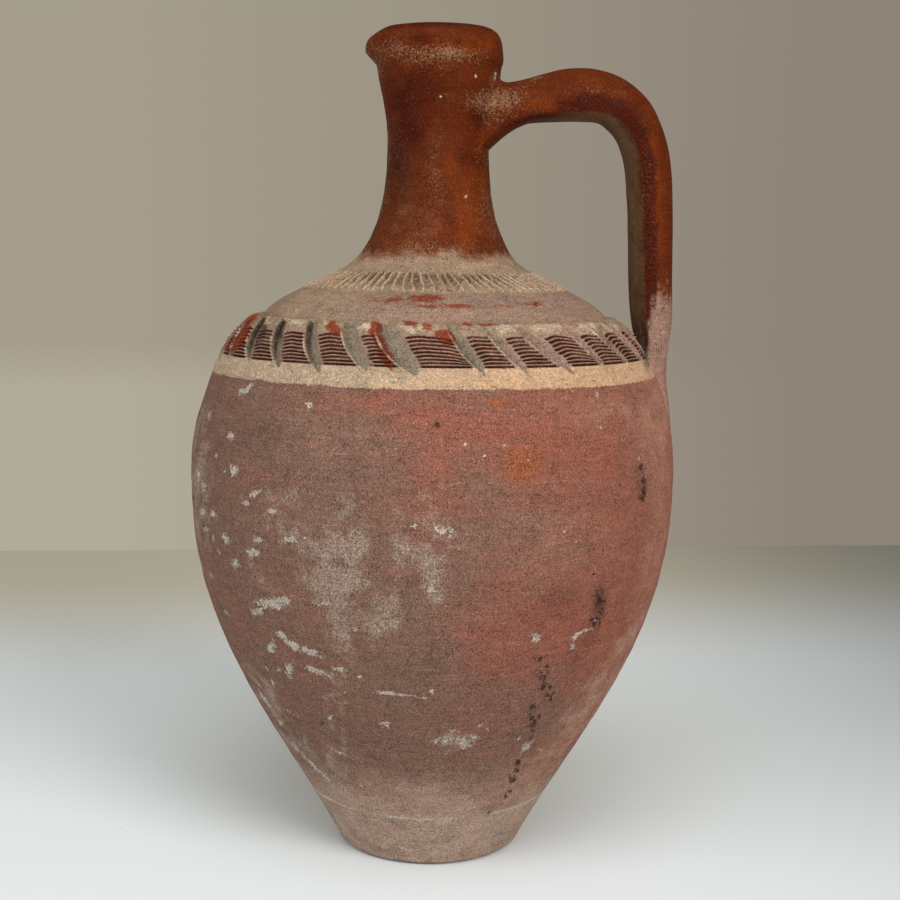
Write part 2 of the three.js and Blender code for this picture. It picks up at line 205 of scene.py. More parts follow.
# Where the left of the upper body is flatter than a turned one.
FLAT_LEVEL = 216.0
FLAT_HEIGHT = 13.0
FLAT_DEPTH = 1.3

# How finely the visible skins are divided.
BAND_COLUMNS = 1120
WALL_COLUMNS = 620
COIL_COLUMNS = 1376
NECK_COLUMNS = 320
STRAP_COLUMNS = 112
STRAP_STEP = 0.8
EDGE_ROWS = 8
FOOT_ROWS = 32
LOWER_BODY_ROWS = 148
UPPER_BODY_ROWS = 58
FINE_ROWS = 20
LIP_ROWS = 18
SHOULDER_ROWS = 34
COIL_ROWS = 54
NECK_ROWS = 124
RIM_SIDE_STEPS = 13
RIM_ARC_POINTS = 36
RIM_INSIDE_STEPS = 6

# Seeded noise

LATTICE_SIZE = 32
LATTICE = np.random.default_rng(7).random((LATTICE_SIZE,) * 3) * 2 - 1


def noise(points, size, shift=0.0):
    """Smooth noise from -1 to 1 over points, with lumps of about a size."""
    place = points / size + shift
    cell = np.floor(place).astype(int)
    part = place - cell
    eased = part * part * (3 - 2 * part)
    total = np.zeros(points.shape[:-1])
    for corner in itertools.product((0, 1), repeat=3):
        weight = np.ones(points.shape[:-1])
        for axis in range(3):
            share = eased[..., axis]
            weight = weight * (share if corner[axis] else 1 - share)
        index = (cell + np.array(corner)) % LATTICE_SIZE
        total += weight * LATTICE[index[..., 0], index[..., 1], index[..., 2]]
    return total


def noises(points, *layers):
    """A sum of noises over points, each given as (strength, size, shift)."""
    return sum(strength * noise(points, size, shift) for strength, size, shift in layers)


def ease(value, start, end):
    """A smooth step from 0 at start to 1 at end."""
    share = np.clip((value - start) / (end - start), 0, 1)
    return share * share * (3 - 2 * share)


# The outer outlines of body and neck, as points of (radius, level) that run upward


def curve_points(start, end, low, high):
    """A cubic curve. Each inner control is a share of the way across and up the curve's box."""
    start = np.array(start)
    span = np.array(end) - start
    share = np.linspace(0, 1, 300)[:, None]
    rest = 1 - share
    inner = 3 * np.array(low) * share * rest**2 + 3 * np.array(high) * share**2 * rest
    return start + span * (inner + share**3)


BAND_MIDDLE_SHARE = 0.5
BAND_SPAN = np.array([BAND_TOP_RADIUS - BAND_BASE_RADIUS, BAND_TOP - BAND_BASE])
BOW_SHARES = BAND_MIDDLE_SHARE + BAND_BOW / BAND_SPAN
WALL_OUTLINE = np.vstack([
    curve_points((FOOT_RADIUS, 0), (BELLY_RADIUS, BELLY), (0.4, 0.325), (1, 0.575)),
    curve_points((BELLY_RADIUS, BELLY), (BAND_BASE_RADIUS, BAND_BASE), (0, 0.03), (-0.22, 0.52))[1:],
    curve_points(
        (BAND_BASE_RADIUS, BAND_BASE),
        (BAND_TOP_RADIUS, BAND_TOP),
        BOW_SHARES * 2 / 3,
        1 / 3 + BOW_SHARES * 2 / 3,
    )[1:],
])
NECK_OUTLINE = np.vstack([
    curve_points(
        (DOME_BASE_RADIUS, BAND_TOP), (NECK_BASE_RADIUS, NECK_BASE), (0.12, 0.39), (0.713, 0.69)
    ),
    curve_points((NECK_BASE_RADIUS, NECK_BASE), (WAIST_RADIUS, WAIST_LEVEL), (0.44, 0.104), (1, 0.26))[1:],
    curve_points((WAIST_RADIUS, WAIST_LEVEL), (NECK_TOP_RADIUS, RIM_BASE), (0, 0.3), (0.59, 0.7))[1:],
])


def radius_at(outline, level):
    return np.interp(level, outline[:, 1], outline[:, 0])


def normal_at(outline, level, reach=1.5):
    """The outward normal's level and upward parts, evened out over a reach along the outline."""
    top = np.minimum(level + reach, outline[-1, 1])
    bottom = np.maximum(level - reach, outline[0, 1])
    outward = top - bottom
    upward = radius_at(outline, bottom) - radius_at(outline, top)
    length = np.hypot(outward, upward)
    return outward / length, upward / length


def turned_points(azimuth, radius, level):
    across = radius * np.cos(azimuth)
    deep = radius * np.sin(azimuth)
    return np.stack(np.broadcast_arrays(across, deep, level), axis=-1)


# The photograph's view of a point


def camera_axes():
    forward = CAMERA_FORWARD / np.linalg.norm(CAMERA_FORWARD)
    level_right = np.cross(forward, (0, 0, 1))
    level_right /= np.linalg.norm(level_right)
    level_up = np.cross(level_right, forward)
    right = level_right * math.cos(CAMERA_ROLL) + level_up * math.sin(CAMERA_ROLL)
    up = level_up * math.cos(CAMERA_ROLL) - level_right * math.sin(CAMERA_ROLL)
    return right, up, forward


def photo_pixels(points):
    """Where points stand in the photograph, across and down, in pixels."""
    right, up, forward = camera_axes()
    ray = points - CAMERA_PLACE
    depth = ray @ forward
    middle = IMAGE_PIXELS / 2
    return middle + FOCAL_PIXELS * (ray @ right) / depth, middle - FOCAL_PIXELS * (ray @ up) / depth


# How squarely a wall has to face the camera before a mark begins to show on it, and over how much
# more the mark comes in. A soft mark reaches a little round the jug's side.
LEAST_FACING = 0.02
LEAST_FACING_SOFT = -0.16
FACING_FADE = 0.12


def seen_share(points, least=LEAST_FACING):
    """1 where the turned wall faces the photograph's camera, 0 where it faces away."""
    ray = CAMERA_PLACE - points
    facing = (points[..., 0] * ray[..., 0] + points[..., 1] * ray[..., 1])
    facing = facing / np.hypot(points[..., 0], points[..., 1]) / np.linalg.norm(ray, axis=-1)
    return ease(facing, least, least + FACING_FADE)


# How far from its middle a mark is worked out, in half sizes and in pixels beyond them, and how much
# its outline wanders slowly and quickly, as shares of its half size up to limits, which are in
# pixels for the front and in millimetres for the back.
MARK_REACH = 2.5
MARK_MARGIN = 12
SLOW_WANDER = 0.5
QUICK_WANDER = 0.4
WANDER_LIMITS = (16, 5)
BACK_WANDER_LIMITS = (8, 2.5)


def wander_sizes(half, limits):
    """How far the outline of a mark of a half size wanders, slowly and quickly."""
    return SLOW_WANDER * min(half, limits[0]), QUICK_WANDER * min(half, limits[1])


def wandering(points):
    """Noises that shift a mark's outline across and down, slowly and then quickly."""
    return [noise(points, size, shift) for size, shift in ((11, 12.1), (11, 15.7), (3, 18.3), (3, 21.9))]


def joined(mask, cover, soft):
    """A mask with one more mark on it. Soft marks build up where they meet."""
    return 1 - (1 - mask) * (1 - cover) if soft else np.maximum(mask, cover)


def mark_cover(reach, soft):
    """A mark's strength at its own reach, which is 1 at its edge."""
    return np.exp(-reach) if soft else np.clip(1 - 0.5 * np.sqrt(reach), 0, 1)


def spots(points, wander, marks, soft=False, size=1.0):
    """A mask of oval marks: (across, down, half width, half height, turn in degrees, strength).

    Each outline wanders, and a soft mark fades away from its middle.
    """
    across, down = photo_pixels(points)
    mask = np.zeros(points.shape[:-1])
    for x, y, half_width, half_height, turn, strength in marks:
        half_width, half_height = size * half_width, size * half_height
        box = MARK_REACH * max(half_width, half_height) + MARK_MARGIN
        near = (np.abs(across - x) < box) & (np.abs(down - y) < box)
        if not near.any():
            continue
        slow, quick = wander_sizes(min(half_width, half_height), WANDER_LIMITS)
        right = across[near] - x + slow * wander[0][near] + quick * wander[2][near]
        below = down[near] - y + slow * wander[1][near] + quick * wander[3][near]
        angle = math.radians(turn)
        along = right * math.cos(angle) + below * math.sin(angle)
        aside = below * math.cos(angle) - right * math.sin(angle)
        cover = mark_cover((along / half_width) ** 2 + (aside / half_height) ** 2, soft)
        mask[near] = joined(mask[near], strength * cover, soft)
    return mask * seen_share(points, LEAST_FACING_SOFT if soft else LEAST_FACING)


# Marks that the photograph shows, in its pixels. A turn is clockwise, from level. In this order they
# are lime flecks, chalk on the band's lip, grey bloom with a painted sheen on the neck, mauve film
# with the same painted sheen, warmer clay with painted light on the lit side, orange clay, red
# patches, dark stains, grime with painted shade, deeper slip with painted shade, and dust.
PALE_MARKS = (
    (245, 391, 9, 3, -35, 1), (250, 386, 5, 2, -40, 1), (310, 405, 4, 4, 0, 1), (229.5, 437, 4, 4, 30, 1),
    (233.5, 470.5, 6, 5.5, -10, 1), (224, 472, 2, 1.6, 0, 1), (216, 456, 1.6, 3, 0, 0.9),
    (255, 493, 9, 3, -25, 1), (246, 503, 5, 3.4, -20, 1), (271.5, 511, 6, 2.6, 0, 1),
    (204, 511, 4, 7, 0, 0.9), (213, 514, 3, 4, 0, 0.9), (204, 486, 2.6, 6, 0, 0.8),
    (198.5, 476, 1.8, 6, 0, 0.9), (210, 415, 3, 6, 15, 0.7), (206, 530, 3, 5, 0, 0.7),
    (225.5, 538, 4.4, 6, -30, 1), (257, 539, 6, 3.6, 0, 1), (290, 539.5, 9, 3, -4, 1),
    (304, 537, 4, 1.6, 0, 0.8), (254, 552, 7, 4.6, 0, 1), (235, 564, 6, 3.6, 50, 0.95),
    (213, 538, 2, 4, 0, 0.9), (219, 552, 2, 5, -20, 0.7), (211, 575, 2, 6, -20, 0.7),
    (226, 612, 2, 5, -30, 0.7), (271, 604, 17, 6, 3, 1), (257, 611, 7, 5, 0, 0.95),
    (284, 602, 9, 5, 12, 1), (322, 604, 12, 2.2, 0, 0.9), (282, 636, 8, 4, 40, 0.95),
    (292, 645, 12, 4, 36, 1), (310, 652, 16, 3.2, 18, 1), (272, 647, 5, 6, 20, 0.9),
    (290, 671, 5, 9, 10, 0.95), (267, 667, 3, 4, 30, 0.8), (278, 670, 5, 2, 30, 0.7),
    (273, 683, 2.4, 6, -25, 0.7), (318, 671, 14, 3.4, 16, 0.95), (341, 670, 14, 2, 16, 0.9),
    (330, 674, 9, 2, 10, 0.8), (405, 695.5, 27, 1.1, 7.5, 1), (389, 693, 13, 2.2, 6, 1),
    (424, 698, 10, 0.9, 7.5, 0.9), (432, 693, 4, 3, 0, 0.8), (355, 630, 3.4, 3, 0, 0.95),
    (359, 677, 3, 2, 0, 0.8), (384, 724, 6, 4, 10, 0.9), (441, 531, 6, 4, 0, 0.95),
    (450, 530, 5, 3.4, 0, 0.95), (437, 527, 3, 3, 0, 0.9), (416, 527, 5, 3, 0, 0.7),
    (450, 536, 3, 2, 0, 0.9), (467, 533, 2.4, 2, 0, 0.7), (431, 588, 6, 8, 0, 0.8),
    (464, 743, 8, 6, 10, 1), (458, 738, 4, 3, 0, 0.9), (473, 738, 4, 2, -20, 0.9),
    (447, 740, 8, 6, 0, 0.75), (436, 744, 6, 3, 0, 0.7), (455, 730, 7, 3, 0, 0.65),
    (535, 636.5, 6, 6.5, 0, 1), (578, 634, 8, 2.6, -25, 1), (587, 630, 8, 1.6, -14, 1),
    (573, 646, 3, 5, 20, 1), (594.5, 620, 1.6, 1.6, 0, 1), (527, 747, 4, 9, 35, 0.95),
    (519, 739, 5, 2.6, -30, 0.8), (540, 750, 2.6, 2, 0, 0.8), (481, 725.5, 2.6, 2, 0, 0.9),
    (488, 730, 2.6, 2, 0, 0.9), (432, 692, 2.4, 2, 0, 0.9), (484, 763, 2, 1.6, 0, 0.7),
    (583, 436, 2.4, 2, 0, 0.9), (565, 532, 2.6, 2, 0, 0.8), (577, 542, 1.8, 1.8, 0, 0.7),
    (465, 444, 2, 2, 0, 0.9), (505, 445, 2.6, 1.8, 0, 0.8), (485, 457, 1.8, 1.8, 0, 0.9),
    (528, 459, 1.8, 1.8, 0, 0.9), (593, 453, 1.6, 1.6, 0, 0.7), (602, 428, 1.6, 5, -15, 0.6),
    (622, 439, 2, 1.6, 0, 0.8), (598, 394, 2.4, 4, 10, 0.7), (564, 396, 6, 3, 30, 0.55),
    (263, 466, 2, 1.4, 0, 0.8), (330, 575, 1.6, 1.6, 0, 0.8), (376, 575, 1.6, 1.6, 0, 0.9),
    (475.7, 76, 1.6, 1.6, 0, 1), (440.5, 96.6, 1.5, 1.5, 0, 1), (466.8, 196, 1.8, 1.8, 0, 1),
    (496, 77, 3.4, 6, 10, 0.6), (339, 752, 10, 1.4, 24, 0.9), (330, 717, 4, 3, 0, 0.7),
    (347, 702, 2.6, 3, 0, 0.8), (360, 707, 8, 1.6, 20, 0.6), (345, 693, 2, 2, 0, 0.8),
    (290, 712, 12, 1.6, 30, 0.6), (266, 700, 14, 1.6, 52, 0.9), (280, 722, 5, 2, 45, 0.8),
    (310, 762, 34, 1.8, 46, 0.85), (325, 776, 10, 2, 40, 0.85), (257, 683, 10, 1.6, 50, 0.7),
    (345, 790, 6, 3, 20, 0.6), (361, 786, 8, 1.4, 30, 0.6), (500, 660, 4, 1.4, -50, 0.6),
    (640, 455, 1.6, 8, 10, 0.5), (645, 650, 2, 10, 30, 0.5), (608, 682, 2, 2, 0, 0.8),
    (376, 820, 4, 2, 0, 0.6), (488, 833, 4, 3, 0, 0.7), (400, 848, 16, 1.4, 10, 0.7),
)
CHALK_MARKS = (
    (266, 319, 5, 4, 20, 0.8), (297, 322, 11, 4, 5, 0.8), (289, 320, 4, 2, 0, 0.8),
    (326, 323, 3, 3.5, 0, 0.8), (332.5, 331, 1.2, 1.2, 0, 1), (366, 327, 6.5, 4.5, 0, 1),
    (374.5, 332.5, 1.2, 1.4, 0, 1), (409, 329.5, 7, 2.8, 8, 1), (419, 327, 6, 3.4, -10, 0.9),
    (403, 324, 2, 2, 0, 0.8), (464, 327, 4, 2.4, 0, 0.8),
    (507, 328.5, 12, 5, 0, 1), (497, 334, 1.4, 6, 0, 0.6), (520, 326, 5, 1.6, 0, 0.6),
    (549, 328, 14, 5, 0, 1), (589, 328, 13, 5.4, 0, 1), (612, 328, 8, 3.4, 20, 0.9),
)
# Grey bloom on the clay, and a painted sheen on the neck's slip.
BLOOM_AND_SHEEN_MARKS = (
    (352, 512, 12, 18, 10, 0.8), (330, 548, 24, 20, 0, 0.75), (338, 575, 30, 12, 5, 0.8),
    (324, 592, 26, 12, 20, 0.7), (356, 560, 14, 20, 0, 0.7), (400, 545, 10, 20, 15, 0.6),
    (428, 560, 18, 24, 5, 0.75), (430, 588, 12, 14, 0, 0.9), (398, 590, 12, 26, 25, 0.6),
    (382, 625, 26, 16, -35, 0.5), (345, 610, 40, 20, 0, 0.45), (424, 510, 22, 18, 0, 0.45),
    (290, 470, 40, 60, 0, 0.18), (275, 545, 50, 60, 0, 0.25), (450, 742, 30, 12, 0, 0.6),
    (330, 740, 5, 50, 0, 0.4), (344, 740, 3, 50, -4, 0.4), (345, 640, 20, 60, 0, 0.4),
    (265, 692, 42, 6, 52, 0.55), (300, 745, 50, 7, 47, 0.6), (592, 708, 60, 10, -53, 0.4),
    (634, 635, 50, 9, -62, 0.4), (530, 790, 40, 10, -45, 0.45), (440, 800, 100, 18, 0, 0.35),
    (375, 440, 40, 18, 0, 0.15), (480, 545, 60, 60, 0, 0.12),
    (201, 500, 9, 90, 0, 0.5), (410, 222, 28, 34, 0, 0.45), (410, 246, 44, 12, 0, 0.35),
    (484, 215, 8, 34, 0, 0.5), (438, 165, 9, 34, 0, 0.45),
    (497, 830, 16, 9, 0, 0.95), (590, 700, 60, 12, -53, 0.4), (360, 800, 30, 16, 30, 0.4),
    (640, 320, 20, 10, 0, 0.2), (496, 79, 5, 9, 10, 1.0),
)
# Mauve film on the clay, and the same painted sheen on the neck.
FILM_AND_SHEEN_MARKS = (
    (665, 470, 9, 90, 0, 0.8), (656, 560, 10, 50, 14, 0.8), (655, 425, 13, 50, 0, 0.9),
    (634, 635, 52, 11, -62, 0.8), (590, 708, 62, 13, -53, 0.8), (530, 780, 50, 14, -45, 0.4),
    (400, 218, 30, 40, 0, 0.4), (410, 246, 44, 12, 0, 0.3), (492, 215, 9, 50, 0, 0.5),
    (667, 220, 5, 80, 0, 0.4), (438, 165, 9, 34, 0, 0.4), (570, 330, 40, 16, 0, 0.3),
    (300, 430, 60, 20, 10, 0.1), (560, 540, 60, 40, 0, 0.3), (400, 800, 60, 12, 0, 0.4),
    (605, 412, 56, 16, 0, 0.5), (661, 400, 10, 22, 0, 0.7),
)
# Warmer clay, and painted light on the lit right side of body, band, neck and strap.
WARM_AND_LIT_MARKS = (
    (600, 470, 110, 130, 0, 0.75), (570, 640, 80, 90, 0, 0.6), (480, 410, 130, 30, 0, 0.45),
    (340, 402, 110, 12, 3, 0.35), (500, 640, 60, 40, -10, 0.5), (490, 430, 60, 14, 0, 0.6),
    (590, 620, 40, 30, 0, 0.6), (380, 400, 16, 9, 0, 0.7), (436, 480, 26, 60, 0, 0.45),
    (640, 560, 40, 100, 0, 0.4), (460, 165, 16, 20, 0, 0.5), (465, 215, 14, 34, 0, 1),
    (438, 235, 16, 12, 0, 0.4), (470, 46, 26, 10, 0, 0.8), (590, 92, 36, 10, 0, 0.25),
    (540, 100, 30, 14, 0, 0.5), (657, 210, 7, 60, 0, 0.9), (655, 140, 10, 20, 0, 0.5),
    (620, 345, 50, 20, 0, 0.9), (560, 350, 40, 20, 0, 0.7), (500, 350, 30, 24, 0, 0.3),
    (560, 378, 90, 12, 0, 0.5), (480, 190, 8, 50, 0, 0.5),
)
ORANGE_MARKS = (
    (525, 470, 22, 20, 20, 0.85), (515, 460, 34, 22, -20, 0.45), (540, 445, 16, 8, -10, 0.4),
    (499, 403, 16, 6, 0, 0.8), (320, 723, 6, 5, 0, 0.6), (410, 728, 6, 6, 0, 0.35),
    (394, 648, 5, 6, 0, 0.6), (440, 600, 8, 10, 0, 0.4), (472, 810, 5, 10, 30, 0.9),
    (499, 810, 5, 5, 0, 0.8), (603, 656, 8, 14, 20, 0.55), (455, 742, 8, 3, 0, 0.5),
    (425, 505, 10, 14, 0, 0.35), (410, 570, 8, 20, 0, 0.4), (478, 175, 3, 8, 0, 0.5),
)
RED_MARKS = (
    (240, 337, 6, 15, 33, 1.5), (231, 347, 4, 5, 30, 1.3), (251, 317, 8, 4, -35, 1.5),
    (333, 328, 5, 6, 0, 1.4), (376, 329, 5, 7, -10, 1.5), (380.5, 343, 4, 9, -28, 1.6),
    (387.5, 358, 4.4, 10, -32, 1.6), (443, 336, 8, 4.6, 10, 1.5), (449, 341, 5, 4, 0, 1.5),
    (409, 324, 7, 2.4, 0, 1), (425, 326, 5, 4, 20, 1), (466, 324.5, 7, 2.4, 0, 0.95),
    (487, 324.5, 10, 1.6, 0, 0.9), (425, 299, 18, 4.5, -3, 0.95), (395, 300, 28, 3.6, 2, 0.7),
    (459, 306.5, 14, 2.6, 2, 1), (430, 306.5, 16, 1.8, 0, 0.9), (500, 306, 24, 2, 0, 0.55),
    (535, 304, 12, 4, 0, 0.7), (450, 290.5, 6, 1.4, 0, 0.6), (380, 390, 16, 3, 0, 0.4),
    (246, 384, 16, 1.6, 5, 0.6), (300, 387, 40, 1.6, 3, 0.5), (480, 386, 70, 1.6, -1, 0.5),
    (590, 382, 40, 1.6, -5, 0.5), (517, 332, 6, 4, 20, 0.45), (612, 378, 4, 5, 0, 0.5),
)
DARK_MARKS = (
    (437, 423, 3.4, 2.8, 0, 1), (594, 574, 2, 2, 0, 1), (342, 560, 1.6, 1.6, 0, 0.8),
    (330, 427, 1.6, 1.4, 0, 0.9), (414, 490, 2, 1.6, 0, 0.9), (437, 424, 4, 3, 0, 1),
    (555, 512, 3, 2, 0, 0.7), (514, 552, 3, 2.4, 0, 0.6), (556, 554, 3, 2, 0, 0.6),
    (640, 468, 1.6, 2, 0, 1), (644, 480, 1.6, 3, 10, 1), (619, 485, 1.8, 1.8, 0, 0.8),
    (600, 603, 1.6, 6, 14, 0.7), (567, 618, 1.8, 1.8, 0, 0.8), (532, 708, 2, 2, 0, 1),
    (520, 762, 4, 1.2, -25, 1), (507, 797, 2, 2.4, 20, 1), (580, 658, 7, 1.2, 20, 1),
    (573, 672, 5, 1.2, -40, 0.7), (664, 332, 2, 2.2, 0, 1), (491, 648, 1.6, 1.2, 0, 0.8),
    (322, 723, 2.4, 2.4, 0, 1), (408, 660, 10, 0.9, -60, 0.7), (545, 650, 2, 2, 0, 0.7),
    (412, 258.5, 2, 1.2, 0, 0.9), (479, 256, 1.6, 1.2, 0, 0.8), (490, 812, 4, 1.2, -30, 0.7),
)
# Grime, and painted shade on the gouges' left sides, in the creases round the strap's tail and over the
# shaded left of body and neck.
GRIME_AND_SHADE_MARKS = (
    (262, 328, 5, 15, 12, 0.95), (254, 345, 5, 8, 12, 0.5), (281, 333, 4, 15, 3, 0.75),
    (312, 332, 3, 12, -6, 0.4), (598, 604, 7, 30, 14, 0.6), (641, 480, 7, 24, 0, 0.4),
    (592, 640, 12, 12, 0, 0.35), (537, 676, 9, 8, 0, 0.45), (658, 360, 4, 40, 0, 0.15),
    (646, 358, 3, 14, -10, 0.8), (425, 670, 20, 14, 0, 0.3), (400, 165, 14, 60, 0, 0.35),
    (222, 480, 26, 80, 0, 0.2), (262, 425, 44, 30, 10, 0.32), (530, 500, 14, 8, -20, 0.25),
    (550, 325, 10, 5, 0, 0.3), (558, 598, 36, 24, 0, 0.42), (655, 312, 10, 12, 0, 0.4),
    (601, 330, 4, 6, 0, 0.6), (610, 343, 5, 8, -35, 0.6), (625, 352, 8, 6, 20, 0.4),
)
# Deeper slip, and painted shade on the neck's left side, under the rim and along the strap's corner.
DEEP_AND_SHADE_MARKS = (
    (418, 92, 26, 30, 0, 0.9), (405, 125, 22, 20, 0, 0.6), (396, 170, 10, 50, 0, 0.5),
    (420, 38, 24, 8, 0, 0.6), (478, 160, 12, 12, 0, 0.35), (600, 104, 40, 10, 4, 0.8),
    (630, 122, 12, 16, 40, 0.8), (646, 170, 5, 40, -5, 0.8), (648, 240, 4, 60, 0, 0.8),
    (560, 114, 50, 6, 0, 0.5), (478, 115, 30, 8, 0, 0.4), (520, 120, 30, 6, -10, 0.5),
)
DUST_MARKS = (
    (436, 52, 38, 9, 0, 0.55), (450, 49, 16, 8, 0, 0.75), (410, 58, 36, 10, 8, 0.4),
    (480, 56, 20, 14, 0, 0.4), (392, 48, 14, 14, 0, 0.4), (494, 106, 22, 16, 0, 0.7),
    (512, 98, 22, 10, -25, 0.6), (474, 104, 18, 14, 0, 0.4), (432, 165, 12, 40, 0, 0.25),
    (480, 150, 10, 24, 0, 0.3), (660, 300, 7, 12, 0, 0.6), (652, 322, 12, 8, 0, 0.4),
    (538, 78, 12, 4, -18, 0.6), (430, 250, 60, 10, 0, 0.4), (660, 250, 8, 30, 0, 0.25),
    (600, 90, 60, 10, 0, 0.32), (650, 210, 14, 90, 0, 0.4), (450, 210, 60, 60, 0, 0.2),
)

def strokes(seed, path, count, spread):
    """Marks for a row of small stains strewn along a path of pixels."""
    chosen = np.random.default_rng(seed)
    path = np.array(path, dtype=float)
    along = np.sort(chosen.uniform(0, len(path) - 1, count))
    knots = np.arange(len(path))
    return tuple(
        (
            np.interp(place, knots, path[:, 0]) + chosen.normal(0, spread),
            np.interp(place, knots, path[:, 1]) + chosen.normal(0, spread / 2),
            chosen.uniform(1.0, 2.0),
            chosen.uniform(1.2, 3.2),
            chosen.uniform(-50, 50),
            chosen.uniform(0.8, 1.1),
        )
        for place in along
    )


# The rows of dark stains that the photograph shows
DARK_STROKES = (
    strokes(31, ((538, 657), (547, 672), (545, 686), (549, 700)), 34, 3.2)
    + strokes(32, ((538, 702), (533, 716), (534, 730), (528, 744)), 18, 2.0)
    + strokes(33, ((521, 760), (516, 772), (511, 786), (506, 800)), 20, 1.8)
    + strokes(34, ((640, 466), (645, 482), (641, 500)), 20, 1.8)
    + strokes(35, ((598, 590), (603, 606), (593, 626)), 26, 2.6)
)


# Wear that the photograph doesn't show, strewn over the back: the azimuths in degrees between which
# it lies, and how far from the axis towards the front, along Y, it comes in.
BACK_AZIMUTHS = (-8, 188)
BACK_FADE = (-75, -45)


def strew(seed, count, smallest, largest, low_level, high_level):
    """Seeded places on the back: (azimuth, level, half size, stretch)."""
    chosen = np.random.default_rng(seed)
    return [
        (
            math.radians(chosen.uniform(*BACK_AZIMUTHS)),
            chosen.uniform(low_level, high_level),
            chosen.uniform(smallest, largest),
            chosen.uniform(0.7, 2.2),
        )
        for _ in range(count)
    ]


# Each kind of mark on the front, whether it is soft, and its size against the table's.
FRONT_WEAR = (
    ("pale", PALE_MARKS, False, 0.8),
    ("bloom_and_sheen", BLOOM_AND_SHEEN_MARKS, True, 1.0),
    ("film_and_sheen", FILM_AND_SHEEN_MARKS, True, 1.0),
    ("warm_and_lit", WARM_AND_LIT_MARKS, True, 1.0),
    ("orange", ORANGE_MARKS, True, 1.0),
    ("red", RED_MARKS, False, 1.0),
    ("dark", DARK_MARKS + DARK_STROKES, False, 0.95),
    ("grime_and_shade", GRIME_AND_SHADE_MARKS, True, 1.0),
    ("deep", DEEP_AND_SHADE_MARKS, True, 1.0),
    ("dust", DUST_MARKS, True, 1.0),
)

# Each kind of mark on the back, its strength, and whether it is soft.
BACK_WEAR = (
    ("pale", strew(23, 80, 0.8, 2.6, 30, 218), 1.0, False),
    ("bloom_and_sheen", strew(24, 22, 9, 30, 20, 200), 0.6, True),
    ("warm_and_lit", strew(25, 12, 25, 60, 70, 225), 0.7, True),
    ("orange", strew(26, 8, 2, 7, 10, 215), 0.7, True),
    ("red", strew(27, 12, 2, 5, 236, 262), 0.9, False),
    ("dark", strew(28, 40, 0.6, 1.6, 15, 222), 1.0, False),
    ("dust", strew(29, 14, 6, 16, 268, 378), 0.5, True),
    ("deep", strew(30, 9, 10, 26, 280, 380), 0.7, True),
)


def wrapped_turn(angle):
    return np.mod(angle + math.pi, 2 * math.pi) - math.pi


def back_spots(points, wander, places, soft=False):
    """A mask of strewn marks on the turned wall's far side."""
    azimuth = np.arctan2(points[..., 1], points[..., 0])
    girth = np.hypot(points[..., 0], points[..., 1])
    mask = np.zeros(points.shape[:-1])
    for place, level, half, stretch in places:
        slow, quick = wander_sizes(half, BACK_WANDER_LIMITS)
        aside = wrapped_turn(azimuth - place) * girth + slow * wander[0] + quick * wander[2]
        above = points[..., 2] - level + slow * wander[1] + quick * wander[3]
        cover = mark_cover((aside / half / stretch) ** 2 + (above / half) ** 2, soft)
        mask = joined(mask, cover, soft)
    return mask * ease(points[..., 1], *BACK_FADE)


def wear(points, with_back=True):
    """The masks of marks that any piece of the jug can show."""
    wander = wandering(points)
    masks = {name: spots(points, wander, marks, soft, size) for name, marks, soft, size in FRONT_WEAR}
    if not with_back:
        return masks
    for name, places, strength, soft in BACK_WEAR:
        masks[name] = joined(masks[name], strength * back_spots(points, wander, places, soft), soft)
    return masks


# Relief of the thrown wall


def quiet_share(level):
    """0 at a joint of two sections, 1 a few millimetres away, so that their skins meet smoothly."""
    nearest = np.full(np.shape(level), 1e3)
    for joint in JOINTS:
        nearest = np.minimum(nearest, np.abs(level - joint))
    return ease(nearest, 0.3, 4)


def thrown_relief(points):
    """How far a hand-thrown wall stands out from a true turned one."""
    level = points[..., 2]
    azimuth = np.arctan2(points[..., 1], points[..., 0])
    drift = np.stack([np.cos(azimuth) * 4, np.sin(azimuth) * 4, level + azimuth * 1.1], axis=-1)
    flat = FLAT_DEPTH * (0.5 - 0.5 * np.cos(azimuth)) * np.exp(-((level - FLAT_LEVEL) / FLAT_HEIGHT) ** 2)
    slow = noises(points, (0.3, 80, 0.0), (0.14, 30, 3.3))
    rings = noises(drift, (0.15, 5, 1.7), (0.09, 2.2, 5.1))
    fine = noises(points, (0.06, 7, 9.2), (0.04, 2.6, 4.4))
    return slow - flat + (rings + fine) * quiet_share(level)


def neck_swell(azimuth, level):
    """How much fuller the neck is than its outline: at the waist, and under the rim by the strap."""
    waist = WAIST_SWELL * ease(level, *WAIST_SWELL_RISE) * (1 - ease(level, *WAIST_SWELL_FALL))
    close = np.exp(-((wrapped_turn(azimuth) / ROOT_SWELL_TURN) ** 2))
    root = ROOT_SWELL * close * ease(level, *ROOT_SWELL_RISE) * (1 - ease(level, *ROOT_SWELL_FALL))
    return waist * (1 + 0.5 * np.cos(azimuth)) + root


# The combed band with its slashes


